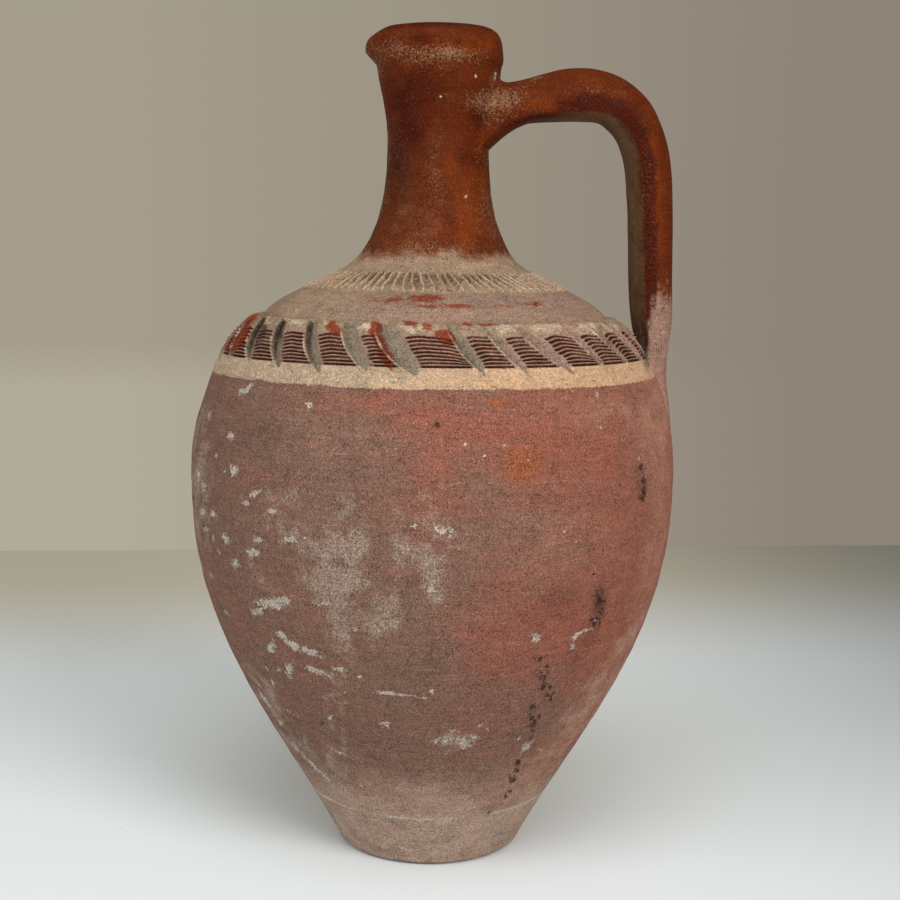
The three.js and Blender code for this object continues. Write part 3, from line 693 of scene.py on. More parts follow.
def slash_table():
    """Every slash: the tip's azimuth and level, width, extra lean, depth, smoothed top and smear."""
    chosen = np.random.default_rng(5)
    front = []
    for turn, tip, width, lean, depth, top, smear in FRONT_SLASHES:
        extra = math.tan(math.radians(lean)) - math.tan(SLASH_LEAN)
        front.append((math.radians(FRONT_AZIMUTH + turn), tip, width, extra, depth, top, smear))
    hidden = SLASH_COUNT - len(front)
    gap = (2 * math.pi - (front[-1][0] - front[0][0])) / (hidden + 1)
    back = [
        (
            front[-1][0] + gap * (i + 1) + math.radians(chosen.normal(0, 0.7)),
            SLASH_TIP_LEVEL + chosen.uniform(-1.2, 1.2),
            SLASH_WIDTH * chosen.uniform(0.85, 1.15),
            chosen.uniform(-0.05, 0.2),
            SLASH_DEPTH * chosen.uniform(0.8, 1.1),
            chosen.choice((247.0, 256.0)),
            chosen.uniform(0.4, 3.4),
        )
        for i in range(hidden)
    ]
    return front + back


SLASHES = slash_table()
PANEL_FALLS = LINE_FALL * np.random.default_rng(11).uniform(0.6, 1.3, SLASH_COUNT)
MEAN_GIRTH = (BAND_BASE_RADIUS + BAND_TOP_RADIUS) / 2


def lean_shift(level):
    """How far round the slashes' lean carries a column at a level."""
    rise = np.maximum(level - SLASH_TIP_LEVEL, 0)
    return -math.tan(SLASH_LEAN) * rise / MEAN_GIRTH


# A slash's leaf shape, left and right of its line: its share of the width, how far up it is fully
# wide, and how blunt its tip is.
LEAF_LEFT = (0.64, 0.7, 0.8)
LEAF_RIGHT = (0.36, 0.3, 0.55)


def leaf_side(width, rise, side):
    """How far one side of a slash's leaf stands from its line."""
    width_share, full_rise, power = side
    return width_share * width * (1 - (1 - np.minimum(rise / full_rise, 1)) ** 2) ** power


def slash_relief(column, level):
    """Depth and burr of the slashes, and masks of their inside, the painted shade of their left side and
    their smear.
    """
    shape = np.broadcast(column, level).shape
    depth = np.zeros(shape)
    burr = np.zeros(shape)
    inside = np.zeros(shape)
    hollow_shade = np.zeros(shape)
    smear = np.zeros(shape)
    flat = np.stack(np.broadcast_arrays(column * MEAN_GIRTH, level, 0 * level), axis=-1)
    ragged = noise(flat, 1.7)
    drag = noise(flat * (1, 0.12, 1), 0.9, 5.3)
    for azimuth, tip, width, extra, full, top, reach in SLASHES:
        up = (level - tip) / (BAND_TOP - tip)
        across = wrapped_turn(column - azimuth) * MEAN_GIRTH + extra * (level - tip)
        rise = np.clip(up, 0, 1)
        left = leaf_side(width, rise, LEAF_LEFT) * (1 - 0.2 * ease(up, 0.75, 1.1))
        right = leaf_side(width, rise, LEAF_RIGHT) + 0.25 * ragged
        share = (across + left) / np.maximum(left + right, 0.05)
        profile = ease(share, 0, 0.14) * np.clip(1 - share, 0, 1) ** 0.55
        here = (share > 0) * (share < 1) * (up > 0)
        shown = 1 - ease(level, top - 2.5, top + 1)
        grow = 0.45 + 0.55 * ease(up, 0, 0.5)
        depth = np.maximum(depth, full * grow * profile * here * shown * (1 + 0.14 * drag))
        clear = ease(share, 0, 0.08) * (1 - ease(share, 0.86, 1))
        inside = np.maximum(inside, here * clear * (0.35 + 0.65 * shown) * (0.88 + 0.24 * drag))
        # Painted shade inside the deeper gouges, strongest at the left side and towards the top.
        gloom = np.clip((full - 1.1) / 1.1, 0, 1) * (0.45 + 0.55 * ease(up, 0, 0.7))
        hollow_shade = np.maximum(hollow_shade, here * clear * gloom * (1 - ease(share, 0.1, 0.85)))
        edge = (across + left + 0.55 * BURR_WIDTH) / BURR_WIDTH
        strength = ease(up, -0.06, 0.06) * (1 - 0.7 * ease(up, 0.55, 0.95)) * shown
        burr = np.maximum(burr, np.exp(-edge**2) * strength * (0.8 + 0.35 * ragged))
        start = right + reach * (0.85 + 0.5 * ragged)
        before_start = 1 - ease(across, start - 0.2, start + 1.2)
        smear = np.maximum(smear, (across > -left) * (across < 13) * before_start * (up > -0.15))
    return depth, burr, inside, hollow_shade, smear


def line_shift(column):
    """How far the comb's lines stand above their mean, and how far across its panel a column is."""
    edges = np.array([slash[0] for slash in SLASHES] + [SLASHES[0][0] + 2 * math.pi])
    turn = np.mod(column - edges[0], 2 * math.pi) + edges[0]
    shift = np.zeros(np.shape(column))
    across = np.zeros(np.shape(column))
    for i in range(SLASH_COUNT):
        share = (turn - edges[i]) / (edges[i + 1] - edges[i])
        here = (share >= 0) & (share < 1)
        fall = PANEL_FALLS[i] * (0.5 - share) - LINE_DIVE * ease(share, 0.72, 1)
        before = -PANEL_FALLS[i - 1] / 2 - LINE_DIVE
        start = before * (1 - 0.5 * ease(share, 0, 0.12))
        shift = np.where(here, start + (fall - start) * ease(share, 0.08, 0.48), shift)
        across = np.where(here, share, across)
    return shift, across


def line_hold(level):
    """How much of the lines' shift a row takes: none at the band's base and at its top edge."""
    return ease(level, BAND_BASE + 0.5, BAND_BASE + 5) * (1 - ease(level, LIP_LEVEL, BAND_TOP))


def groove_share(level):
    """How deep a comb groove is at a row, from 0 on a round ridge to 1 in a sharper valley."""
    turn = (level - BAND_BASE) / (LIP_LEVEL - BAND_BASE) * COMB_GROOVES
    inside = (turn > 0) * (turn < COMB_GROOVES)
    return (0.5 - 0.5 * np.cos(2 * math.pi * turn)) ** 1.35 * inside


# Making meshes


def mesh_piece(name, grid, masks, wrapped, sharp_rows=()):
    """A closed skin over a grid of points, with its rows joined round, and its ends too if wrapped.

    Otherwise each end is closed by a flat face. Masks are values per point. A sharp row's edges
    are shaded sharp.
    """
    rows, columns = grid.shape[:2]
    index = np.arange(rows * columns).reshape(rows, columns)
    lower = index if wrapped else index[:-1]
    upper = np.roll(index, -1, axis=0) if wrapped else index[1:]
    quads = np.stack([lower, np.roll(lower, -1, 1), np.roll(upper, -1, 1), upper], axis=-1).reshape(-1, 4)
    corners = quads.ravel()
    starts = np.arange(0, len(corners), 4)
    if not wrapped:
        starts = np.append(starts, [len(corners), len(corners) + columns])
        corners = np.concatenate([corners, index[0][::-1], index[-1]])
    mesh = bpy.data.meshes.new(name)
    mesh.vertices.add(rows * columns)
    mesh.vertices.foreach_set("co", (grid / MM).ravel())
    mesh.loops.add(len(corners))
    mesh.loops.foreach_set("vertex_index", corners)
    mesh.polygons.add(len(starts))
    mesh.polygons.foreach_set("loop_start", starts)
    mesh.update(calc_edges=True)
    mesh.shade_smooth()
    mark_sharp(mesh, columns, sharp_rows)
    for mask_name, values in masks.items():
        layer = mesh.attributes.new(mask_name, "FLOAT", "POINT")
        layer.data.foreach_set("value", np.ascontiguousarray(values, dtype=np.float32).ravel())
    piece = bpy.data.objects.new(name, mesh)
    bpy.context.collection.objects.link(piece)
    return piece


def mark_sharp(mesh, columns, sharp_rows):
    if not sharp_rows:
        return
    ends = np.empty(len(mesh.edges) * 2, dtype=np.int32)
    mesh.edges.foreach_get("vertices", ends)
    rows = ends.reshape(-1, 2) // columns
    sharp = (rows[:, 0] == rows[:, 1]) & np.isin(rows[:, 0], sharp_rows)
    layer = mesh.attributes.new("sharp_edge", "BOOLEAN", "EDGE")
    layer.data.foreach_set("value", sharp)


def dress(piece, material, slot, *nodes):
    """The piece stands for its nodes, with a material; its slot is not used."""
    piece.data.materials.append(material)
    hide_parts(*nodes)
    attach(piece, "root")


def add_piece(node, slot, material, grid, masks, sharp_rows, wrapped=True):
    """The visible skin of one of the jug's pieces."""
    piece = mesh_piece(node + "_skin", grid, masks, wrapped, sharp_rows)
    dress(piece, material, slot, node)


def even_columns(count):
    return np.linspace(0, 2 * math.pi, count, endpoint=False)


def front_columns(count):
    """Columns that stand twice as close at the photographed front as at the back."""
    turn = even_columns(count)
    return math.radians(FRONT_AZIMUTH) + turn - 0.33 * np.sin(turn)


def wall_skin(outline, azimuth, level, relief=0.0, square_relief=0.0):
    """Points on the outer wall, moved by the thrown relief and by a relief square to the wall."""
    radius = radius_at(outline, level)
    outward, upward = normal_at(outline, level)
    plain = turned_points(azimuth, radius, level)
    radius = radius + thrown_relief(plain) + relief + outward * square_relief
    return turned_points(azimuth, radius, level + upward * square_relief)


def inner_rows(azimuth, outline, levels, wall):
    """Rows of the inner wall, downward, a wall's thickness in from the outline."""
    levels = np.array(levels)[:, None]
    outward, _ = normal_at(outline, levels)
    return turned_points(azimuth, radius_at(outline, levels) - wall / outward, levels)


def padded_masks(masks, outer_rows, grid):
    """Masks known on the first rows, with 0 on the rest."""
    full = {}
    for name, values in masks.items():
        whole = np.zeros(grid.shape[:2])
        whole[:outer_rows] = values
        full[name] = whole
    return full


# The pieces


# The foot's underside, its worn and chipped edge, and its inside down to the floor.
UNDER_RADII = (3.0, 12, 20, 28, 34, 38, 40.2)
UNDER_HOLLOW = 0.25
EDGE_ROUND = 2.2
EDGE_LEVELS = (0.05, 2.6)
PLAIN_START = 3.3
CHIP_DEPTH = 1.4
FOOT_INSIDE_LEVELS = (FOOT_TOP, 24, FLOOR_LEVEL + FLOOR_FILLET)
INNER_FLOOR_RADII = (20, 3.0)
INNER_CORNER_OUT = 3.0
INNER_CORNER_UP = 2.2

# The scratched line, and the levels between which the foot's greyish clay gives way to red.
SCRATCH_LEVEL = 28.3
SCRATCH_WIDTH = 0.7
ASH_FADE = (FOOT_TOP - 12, FOOT_TOP + 38)


def make_foot(material):
    columns = front_columns(WALL_COLUMNS)[None, :]
    under_radii = np.array(UNDER_RADII)[:, None]
    under_level = UNDER_HOLLOW * ease(UNDER_RADII[-1] - under_radii, 2, 8)
    under = turned_points(columns, under_radii, under_level + 0 * columns)
    edge_levels = np.linspace(*EDGE_LEVELS, EDGE_ROWS)
    plain_levels = np.linspace(PLAIN_START, FOOT_TOP, FOOT_ROWS)
    levels = np.concatenate([edge_levels, plain_levels])[:, None]
    outer = wall_skin(WALL_OUTLINE, columns, levels, square_relief=foot_relief(columns, levels))
    inside = inner_rows(columns, WALL_OUTLINE, FOOT_INSIDE_LEVELS, BODY_WALL)
    floor_radius = radius_at(WALL_OUTLINE, FLOOR_LEVEL + FLOOR_FILLET) - BODY_WALL - FLOOR_FILLET
    floor_radii = np.array([floor_radius + INNER_CORNER_OUT, floor_radius, *INNER_FLOOR_RADII])[:, None]
    floor_levels = np.array([FLOOR_LEVEL + INNER_CORNER_UP] + [FLOOR_LEVEL] * 3)[:, None]
    floor = turned_points(columns, floor_radii, floor_levels)
    grid = np.vstack([under, outer, inside, floor])
    masks = wear(grid)
    masks["ash"] = ash_share(grid)
    masks["scratch"] = scratch_share(grid)
    # The lowest few millimetres of the foot's edge are darkened with grime and painted shade.
    masks["grime_and_shade"] = np.maximum(masks["grime_and_shade"], 0.55 * (1 - ease(grid[..., 2], 0.4, 2.4)))
    joint = len(under) + len(outer)
    add_piece("foot", "foot_clay", material, grid, masks, (joint - 1, joint), wrapped=False)


def foot_relief(azimuth, level):
    """The rounded, chipped edge that the jug stands on."""
    edge = -EDGE_ROUND * (1 - np.sqrt(np.clip(1 - (1 - np.minimum(level / EDGE_ROUND, 1)) ** 2, 0, 1)))
    around = turned_points(azimuth, FOOT_RADIUS, level)
    chips = np.clip(noise(around, 6, 2.2) - 0.35, 0, 1) * CHIP_DEPTH * (1 - ease(level, 0.5, 4))
    return edge * 0.8 - chips


def scratch_share(points):
    """The wandering line scratched round the jug above its foot."""
    azimuth = np.arctan2(points[..., 1], points[..., 0])
    around = np.stack([40 * np.cos(azimuth), 40 * np.sin(azimuth), 0 * azimuth], axis=-1)
    centre = SCRATCH_LEVEL + 0.6 * noise(around, 22) + 0.25 * noise(around, 6)
    strength = 0.6 + 0.8 * noise(around, 13, 4)
    return np.exp(-(((points[..., 2] - centre) / SCRATCH_WIDTH) ** 2)) * np.clip(strength, 0, 1)


def ash_share(points):
    """The greyish clay of the foot, which gives way to red above the scratched line."""
    level = points[..., 2] + 8 * noise(points, 22, 6) + 3 * noise(points, 6, 2)
    return 1 - ease(level, *ASH_FADE)


def make_lower_body(material):
    columns = front_columns(WALL_COLUMNS)[None, :]
    levels = np.linspace(FOOT_TOP, BELLY, LOWER_BODY_ROWS)[:, None]
    outer = wall_skin(WALL_OUTLINE, columns, levels)
    inside = inner_rows(columns, WALL_OUTLINE, np.linspace(BELLY, FOOT_TOP, 7), BODY_WALL)
    grid = np.vstack([outer, inside])
    masks = wear(grid)
    masks["ash"] = ash_share(grid)
    masks["scratch"] = scratch_share(grid)
    rows = len(outer)
    add_piece("lower_body", "body_clay", material, grid, masks, (0, rows - 1, rows, len(grid) - 1))


CREAM_BASE = 224.6


def cream_share(points):
    """The cream slip brushed under the band, with a ragged lower edge."""
    level = points[..., 2] + 0.35 * noise(points, 9, 3) + 0.2 * noise(points, 2.5, 8)
    return ease(level, CREAM_BASE - 0.5, CREAM_BASE + 0.7)


# The cream slip's thickness and the levels over which it ends, how far below the band the rows are
# close, and the half width and levels of the pale clay round the strap's tail.
CREAM_STEP = 0.15
CREAM_STEP_END = (228, 230)
FINE_HEIGHT = 6.0
WASH_HALF_WIDTH = 19.0
WASH_LEVELS = (176.0, 226.0)


def make_upper_body(material):
    columns = even_columns(BAND_COLUMNS)[None, :]
    plain = np.linspace(BELLY, BAND_BASE - FINE_HEIGHT, UPPER_BODY_ROWS)
    fine = np.linspace(BAND_BASE - FINE_HEIGHT, BAND_BASE, FINE_ROWS)[1:]
    levels = np.concatenate([plain, fine])[:, None]
    depth, burr, inside_slash, hollow_shade, _ = slash_relief(columns, levels)
    step = CREAM_STEP * ease(levels, CREAM_BASE - 0.4, CREAM_BASE + 0.5) * (1 - ease(levels, *CREAM_STEP_END))
    outer = wall_skin(WALL_OUTLINE, columns + lean_shift(levels), levels,
                      square_relief=BURR_HEIGHT * burr - depth + step)
    inside = inner_rows(columns, WALL_OUTLINE, np.linspace(BAND_BASE, BELLY, 5), BODY_WALL)
    grid = np.vstack([outer, inside])
    masks = wear(grid)
    masks["cream"] = cream_share(grid)
    masks["wash"] = tail_wash(grid)
    # The hollow and burr masks paint shade in the gouges and a highlight on their burrs.
    known = {"gouge": inside_slash, "hollow_shade": hollow_shade, "burr": burr}
    masks.update(padded_masks(known, len(outer), grid))
    rows = len(outer)
    add_piece("upper_body", "body_clay", material, grid, masks, (0, rows - 1, rows, len(grid) - 1))


def tail_wash(points):
    """The pale pinkish clay of the strap's lower end, which fades into the body round its tail."""
    azimuth = np.arctan2(points[..., 1], points[..., 0])
    aside = azimuth * BELLY_RADIUS + 2.5 * noise(points, 9, 14.2)
    level = points[..., 2] + 4 * noise(points, 12, 16.1)
    return np.exp(-((aside / WASH_HALF_WIDTH) ** 4)) * ease(level, *WASH_LEVELS)


def make_comb_band(material):
    columns = even_columns(BAND_COLUMNS)[None, :]
    comb_rows = np.linspace(BAND_BASE, LIP_LEVEL, COMB_GROOVES * ROWS_PER_GROOVE + 1)
    lip_rows = np.linspace(LIP_LEVEL, BAND_TOP, LIP_ROWS)[1:]
    rows = np.concatenate([comb_rows, lip_rows])[:, None]
    wobble = 0.22 * noise(turned_points(columns + 0 * rows, 90, rows + 0 * columns), 8, 1.3)
    shift, across = line_shift(columns)
    levels = rows + (shift + wobble) * line_hold(rows)
    depth, burr, inside_slash, hollow_shade, smear = slash_relief(columns, levels)
    lean = lean_shift(levels)
    around = turned_points(columns + lean, BAND_BASE_RADIUS, levels)
    along_line = turned_points(columns + lean, 90, rows * 3 + 0 * columns)
    uneven = 1.06 - 0.4 * across + 0.4 * noise(along_line, 6, 7.7) + 0.2 * noise(along_line, 2.5, 4.9)
    valley = groove_share(rows) * (1 - inside_slash) * (1 - smear) * np.clip(uneven, 0.3, 1.1)
    rounding = LIP_ROUND * ease(rows, BAND_TOP - 1.3, BAND_TOP) ** 2
    square = BURR_HEIGHT * burr - np.maximum(depth, GROOVE_DEPTH * valley) - rounding
    lumps = noises(around, (0.3, 4.4, 2.9), (0.14, 1.6, 6.2))
    square = square + lumps * np.maximum(ease(rows, LIP_LEVEL, LIP_LEVEL + 1), 0.5 * smear)
    outer = wall_skin(WALL_OUTLINE, columns + lean, levels, square_relief=square)
    ledge = ledge_rows(outer[-1], columns + lean[-1:], depth[-1:])
    seat_levels = np.linspace(BAND_TOP - 1, BAND_BASE, 4)
    seat = inner_rows(columns + lean_shift(seat_levels[:, None]), WALL_OUTLINE, seat_levels, BAND_WALL)
    grid = np.vstack([outer, ledge, seat])
    masks = wear(grid)
    lip = ease(rows, LIP_LEVEL - 0.4, LIP_LEVEL + 0.5)
    patches = ease(noise(around, 7, 3.1) + 0.35 * noise(around, 2.5, 8.3), -0.3, 0.15)
    chalk = lip * patches * (1 - 0.85 * inside_slash) * (1 - 0.4 * smear) * (1 - seen_share(outer))
    chalk = np.maximum(chalk, spots(outer, wandering(outer), CHALK_MARKS) * (1 - 0.7 * inside_slash))
    # The valley, ridge, hollow and burr masks carry painted shade, a lit tone and a highlight over the band's
    # relief.
    known = {
        "gouge": np.maximum(inside_slash, 0.45 * smear * (1 - lip)),
        "hollow_shade": hollow_shade,
        "burr": burr,
        "valley": valley,
        "ridge": (1 - valley) * (1 - lip) * (1 - np.maximum(inside_slash, smear)),
        "chalk": chalk,
        "beige": 0.75 * lip,
    }
    masks.update(padded_masks(known, len(outer), grid))
    masks["beige"][len(outer):len(outer) + len(ledge)] = 0.9
    joint = len(outer) + len(ledge)
    add_piece("comb_band", "band_clay", material, grid, masks, (0, joint - 1, joint, len(grid) - 1))


def ledge_rows(edge, azimuth, depth):
    """The nearly level ledge from the lip's edge in to the shoulder, notched by the slashes."""
    outward, upward = normal_at(WALL_OUTLINE, np.array(BAND_TOP))
    edge_radius = np.hypot(edge[:, 0], edge[:, 1])[None, :]
    rows = []
    for share in (0.1, 0.22, 0.35, 0.5, 0.65, 0.8, 0.92, 1.0):
        radius = edge_radius + (DOME_BASE_RADIUS - 0.1 - edge_radius) * share
        inward = BAND_TOP_RADIUS - radius
        notch = np.maximum(depth / upward - inward * upward / outward * 0.62, 0)
        rounding = LIP_ROUND * (1 - ease(np.array(share), 0, 0.22))
        uneven = 0.18 * noise(turned_points(azimuth, radius, BAND_TOP), 4, 3.9)
        level = BAND_TOP - 0.25 * share - notch * (1 - share) ** 0.4 - rounding + uneven * (1 - share)
        rows.append(turned_points(azimuth, radius, level))
    return np.vstack(rows)


# The shoulder's seat behind the band, its roof's levels, how far in its base reaches, how far down
# its dome goes behind the ledge, and the pixels across which its slip turns less beige.
SEAT_GAP = 0.4
SEAT_LEVELS = (BAND_BASE, 238, 244, BAND_TOP - 2)
ROOF_LEVELS = (NECK_BASE, 266, 259, BAND_TOP)
BASE_WIDTH = 7.2
DOME_DROP = 1.2
BEIGE_PIXELS = (300, 400)


def make_shoulder(material):
    columns = front_columns(WALL_COLUMNS)[None, :]
    seat_levels = np.array(SEAT_LEVELS)[:, None]
    outward, _ = normal_at(WALL_OUTLINE, seat_levels)
    seat_radius = radius_at(WALL_OUTLINE, seat_levels) - (BAND_WALL + SEAT_GAP) / outward
    seat = turned_points(columns, seat_radius, seat_levels)
    foot = turned_points(columns, np.array([[DOME_BASE_RADIUS]]), np.array([[BAND_TOP - DOME_DROP]]))
    levels = np.linspace(BAND_TOP, COIL_BASE, SHOULDER_ROWS)[:, None]
    outer = wall_skin(NECK_OUTLINE, columns, levels)
    bed_levels = np.linspace(COIL_BASE + 0.01, NECK_BASE, 4)[:, None]
    bed = turned_points(columns, radius_at(NECK_OUTLINE, bed_levels) - COIL_SEAT, bed_levels)
    roof = inner_rows(columns, NECK_OUTLINE, ROOF_LEVELS, BODY_WALL)
    base = turned_points(columns, np.array([[BAND_BASE_RADIUS - BASE_WIDTH]]), np.array([[BAND_BASE]]))
    grid = np.vstack([seat, foot, outer, bed, roof, base])
    masks = wear(grid)
    masks["beige"] = 0.25 + 0.5 * (1 - ease(photo_pixels(grid)[0], *BEIGE_PIXELS))
    last = len(seat) + 1 + len(outer)
    add_piece("shoulder", "shoulder_slip", material, grid, masks, (last - 1, last))


def nick_relief(azimuth, level):
    """Cuts and burrs of the oblique strokes pressed across the coil, with level lines between them."""
    share = (level - COIL_BASE) / (NECK_BASE - COIL_BASE)
    girth = (NECK_BASE_RADIUS + COIL_BASE_RADIUS) / 2
    around = np.stack(np.broadcast_arrays(azimuth * girth, level * 2.2, 0 * level), axis=-1)
    jitter = noises(around, (0.2, 6, 2.1), (0.12, 1.8, 6.1))
    slope_run = (NECK_BASE - COIL_BASE) * 2.3 / girth
    turn = (azimuth + math.tan(NICK_LEAN) * share * slope_run) * NICK_COUNT / (2 * math.pi) + jitter
    cell = np.floor(turn)
    part = turn - cell
    luck = np.abs(np.sin(cell * 12.9898) * 43758.5453) % 1
    other_luck = np.abs(np.sin(cell * 78.233) * 12543.871) % 1
    ridge = np.exp(-(((part - 0.13) / 0.13) ** 2))
    arch = 0.96 - 0.05 * luck - 0.8 * (part - 0.6) ** 2
    bottom = 0.02 + 0.16 * luck
    hole = ease(part, 0.26, 0.38) * (1 - ease(part, 0.82, 0.98)) * (0.6 + 0.4 * ease(share, 0.2, 0.66))
    hole = hole * ease(share, bottom - 0.06, bottom + 0.18) * (1 - ease(share, arch - 0.07, arch + 0.02))
    lines = np.clip(np.sin((share * NICK_LINES + 0.5 * jitter) * 2 * math.pi), 0, 1)
    lines = lines * (1 - ease(share, 0.4, 0.62))
    rough = noise(around, 1.5, 4.1) + 0.6 * noise(around, 0.7, 9.1)
    cut = hole * (0.65 + 0.35 * other_luck) * (1 - 0.6 * lines) * (1 + 0.6 * rough)
    long_ridge = ease(share, -0.02, 0.04 + 0.06 * other_luck) * (1 - ease(share, 0.84, 0.95))
    hook = np.exp(-(((share - 0.07) / 0.06) ** 2)) * other_luck
    lip = ridge * (long_ridge * (0.6 + 0.4 * luck) + 0.5 * hook)
    rim = 0.45 * np.exp(-(((share - arch - 0.03) / 0.035) ** 2))
    window = ease(share, 0.0, 0.05) * (1 - ease(share, 0.96, 1))
    return cut * window, np.maximum(lip, rim) * window


def make_neck_coil(material):
    columns = even_columns(COIL_COLUMNS)[None, :]
    levels = np.linspace(COIL_BASE, NECK_BASE, COIL_ROWS)[:, None]
    cut, lip = nick_relief(columns, levels)
    share = (levels - COIL_BASE) / (NECK_BASE - COIL_BASE)
    rise = COIL_RISE * (1 - share) * ease(share, 0, 0.2)
    square = rise + NICK_BURR * lip - NICK_DEPTH * cut
    outer = wall_skin(NECK_OUTLINE, columns, levels, square_relief=square)
    low = turned_points(columns, radius_at(NECK_OUTLINE, COIL_BASE) - COIL_SEAT, np.array([[COIL_BASE]]))
    high = turned_points(columns, NECK_BASE_RADIUS - COIL_SEAT, np.array([[NECK_BASE]]))
    grid = np.vstack([outer, high, low])
    masks = wear(grid)
    masks["beige"] = np.ones(grid.shape[:2])
    # The nick mask paints shade into the cuts, and the burr mask a highlight on the ridges between them.
    masks.update(padded_masks({"nick": cut, "burr": lip}, len(outer), grid))
    rows = len(outer)
    add_piece("neck_coil", "shoulder_slip", material, grid, masks, (0, rows - 1, rows, rows + 1))


# The neck's bore from the rim down, and where its slip and its beige clay fade above its base.
BORE_LEVELS = (RIM_BASE, 350, WAIST_LEVEL, 300, 284, NECK_BASE)
BORE_RADII = (18.5, 17.6, 17.2, 19.6, 23.8, 31.1)
SLIP_FADE = (NECK_BASE + 1, NECK_BASE + 12)
BEIGE_FADE = (NECK_BASE + 4, NECK_BASE + 14)


def slip_share(points):
    """The red slip that covers the neck and fades out above the coil."""
    level = points[..., 2] + 2.2 * noise(points, 16, 5) + 1.4 * noise(points, 5, 3)
    return ease(level, *SLIP_FADE)


def make_neck(material):
    columns = even_columns(NECK_COLUMNS)[None, :]
    levels = np.linspace(NECK_BASE, RIM_BASE, NECK_ROWS)[:, None]
    outer = wall_skin(NECK_OUTLINE, columns, levels, relief=neck_swell(columns, levels))
    low = inner_rows(columns, NECK_OUTLINE, BORE_LEVELS, NECK_WALL)
    radius = np.hypot(low[..., 0], low[..., 1])
    wanted = np.array(BORE_RADII)[:, None]
    low[..., :2] *= (wanted / radius)[..., None]
    grid = np.vstack([outer, low])
    masks = wear(grid)
    masks["slip"] = slip_share(grid)
    masks["beige"] = 1 - ease(grid[..., 2], *BEIGE_FADE)
    rows = len(outer)
    add_piece("neck", "neck_slip", material, grid, masks, (0, rows - 1, rows, len(grid) - 1))


def rim_section():
    """The rim's section above its base, anticlockwise, as (radius, height)."""
    outer = NECK_TOP_RADIUS + RIM_OVERHANG
    mouth = outer - RIM_THICKNESS
    crest = (outer + mouth) / 2 - RIM_OVERHANG / 2
    crown = RIM_TOP - RIM_BASE - RIM_BULGE
    rise = np.linspace(0, 1, RIM_SIDE_STEPS + 1)[:-1]
    side = np.stack([NECK_TOP_RADIUS + (outer - NECK_TOP_RADIUS) * np.sin(rise * math.pi / 2) ** 0.7,
                     rise * RIM_BULGE], axis=-1)
    turn = np.linspace(0, math.pi, RIM_ARC_POINTS)
    reach = np.where(turn < math.pi / 2, outer - crest, crest - mouth)
    arc = np.stack([crest + reach * np.sign(np.cos(turn)) * np.abs(np.cos(turn)) ** RIM_SQUARENESS,
                    RIM_BULGE + crown * np.abs(np.sin(turn)) ** RIM_SQUARENESS], axis=-1)
    fall = np.linspace(RIM_BULGE, 0, RIM_INSIDE_STEPS + 1)[1:]
    down = np.stack([np.full(RIM_INSIDE_STEPS, mouth), fall], axis=-1)
    return np.vstack([side, arc, down])


def make_mouth_rim(material):
    columns = even_columns(NECK_COLUMNS)[None, :]
    section = rim_section()
    rise = (section[:, 1] / (RIM_TOP - RIM_BASE))[:, None]
    spread = SPOUT_WIDTH / 2 / (NECK_TOP_RADIUS + RIM_OVERHANG)
    pull = np.exp(-((columns - math.pi) / spread) ** 2)
    level = RIM_BASE + section[:, 1:] - SPOUT_DIP * pull * rise**2
    radius = section[:, :1] + SPOUT_REACH * pull * np.minimum(1, 3 * rise) + neck_swell(columns, level)
    plain = turned_points(columns, radius, level)
    bumps = thrown_relief(plain) + 0.25 * noise(plain, 9, 4.2) * ease(rise, 0, 0.3)
    around = turned_points(columns, radius + bumps, level + 0.3 * noise(plain, 14, 7.1) * rise)
    masks = wear(around)
    masks["slip"] = np.ones(around.shape[:2])
    # The deep mask darkens the rim over its top.
    masks["deep"] = np.maximum(masks["deep"], 0.7 * ease(rise, 0.7, 0.97) + 0 * columns)
    add_piece("mouth_rim", "neck_slip", material, around, masks, (0, len(around) - 1))


def smooth_line(points, per_span):
    """A smooth line through points, with a number of steps to each span."""
    points = np.array(points, dtype=float)
    before = np.vstack([2 * points[0] - points[1], points, 2 * points[-1] - points[-2]])
    line = []
    for i in range(len(points) - 1):
        a, b, c, d = before[i:i + 4]
        share = np.linspace(0, 1, per_span, endpoint=False)[:, None]
        line.append(0.5 * (2 * b + (c - a) * share + (2 * a - 5 * b + 4 * c - d) * share**2
                           + (3 * b - a - 3 * c + d) * share**3))
    line.append(points[-1:])
    return np.vstack(line)


def strap_grid():
    """The strap's rows of points, the outward direction at each, and masks of its palm and corners."""
    stations = [list(back) + list(palm) + [width] for back, palm, width in STRAP_STATIONS]
    line = smooth_line(stations, 16)
    middle = (line[:, 0:2] + line[:, 2:4]) / 2
    run = np.append(0, np.cumsum(np.linalg.norm(np.diff(middle, axis=0), axis=1)))
    steps = int(run[-1] / STRAP_STEP)
    along = np.linspace(0, run[-1], steps)
    line = np.stack([np.interp(along, run, line[:, i]) for i in range(5)], axis=-1)
    back, palm, width = line[:, None, 0:2], line[:, None, 2:4], line[:, None, 4]
    turn = even_columns(STRAP_COLUMNS)[None, :]
    out = np.sin(turn)
    aside = np.cos(turn)
    power = 2 / PALM_SQUARENESS
    palm_side = out < 0
    across = np.where(palm_side, np.sign(aside) * np.abs(aside) ** power, aside)
    depth = np.where(
        palm_side,
        STRAP_SIDE_SHARE * (1 - np.abs(out) ** power),
        STRAP_SIDE_SHARE + (1 - STRAP_SIDE_SHARE) * np.abs(out),
    )
    flat = palm + (back - palm) * depth[..., None]
    points = np.stack([flat[..., 0], across * width / 2, flat[..., 1]], axis=-1)
    corner = ease(depth, 0.01, 0.07) * (1 - ease(depth, 0.28, 0.6)) * (aside != 0)
    return points, depth + 0 * along[:, None], corner + 0 * along[:, None], along


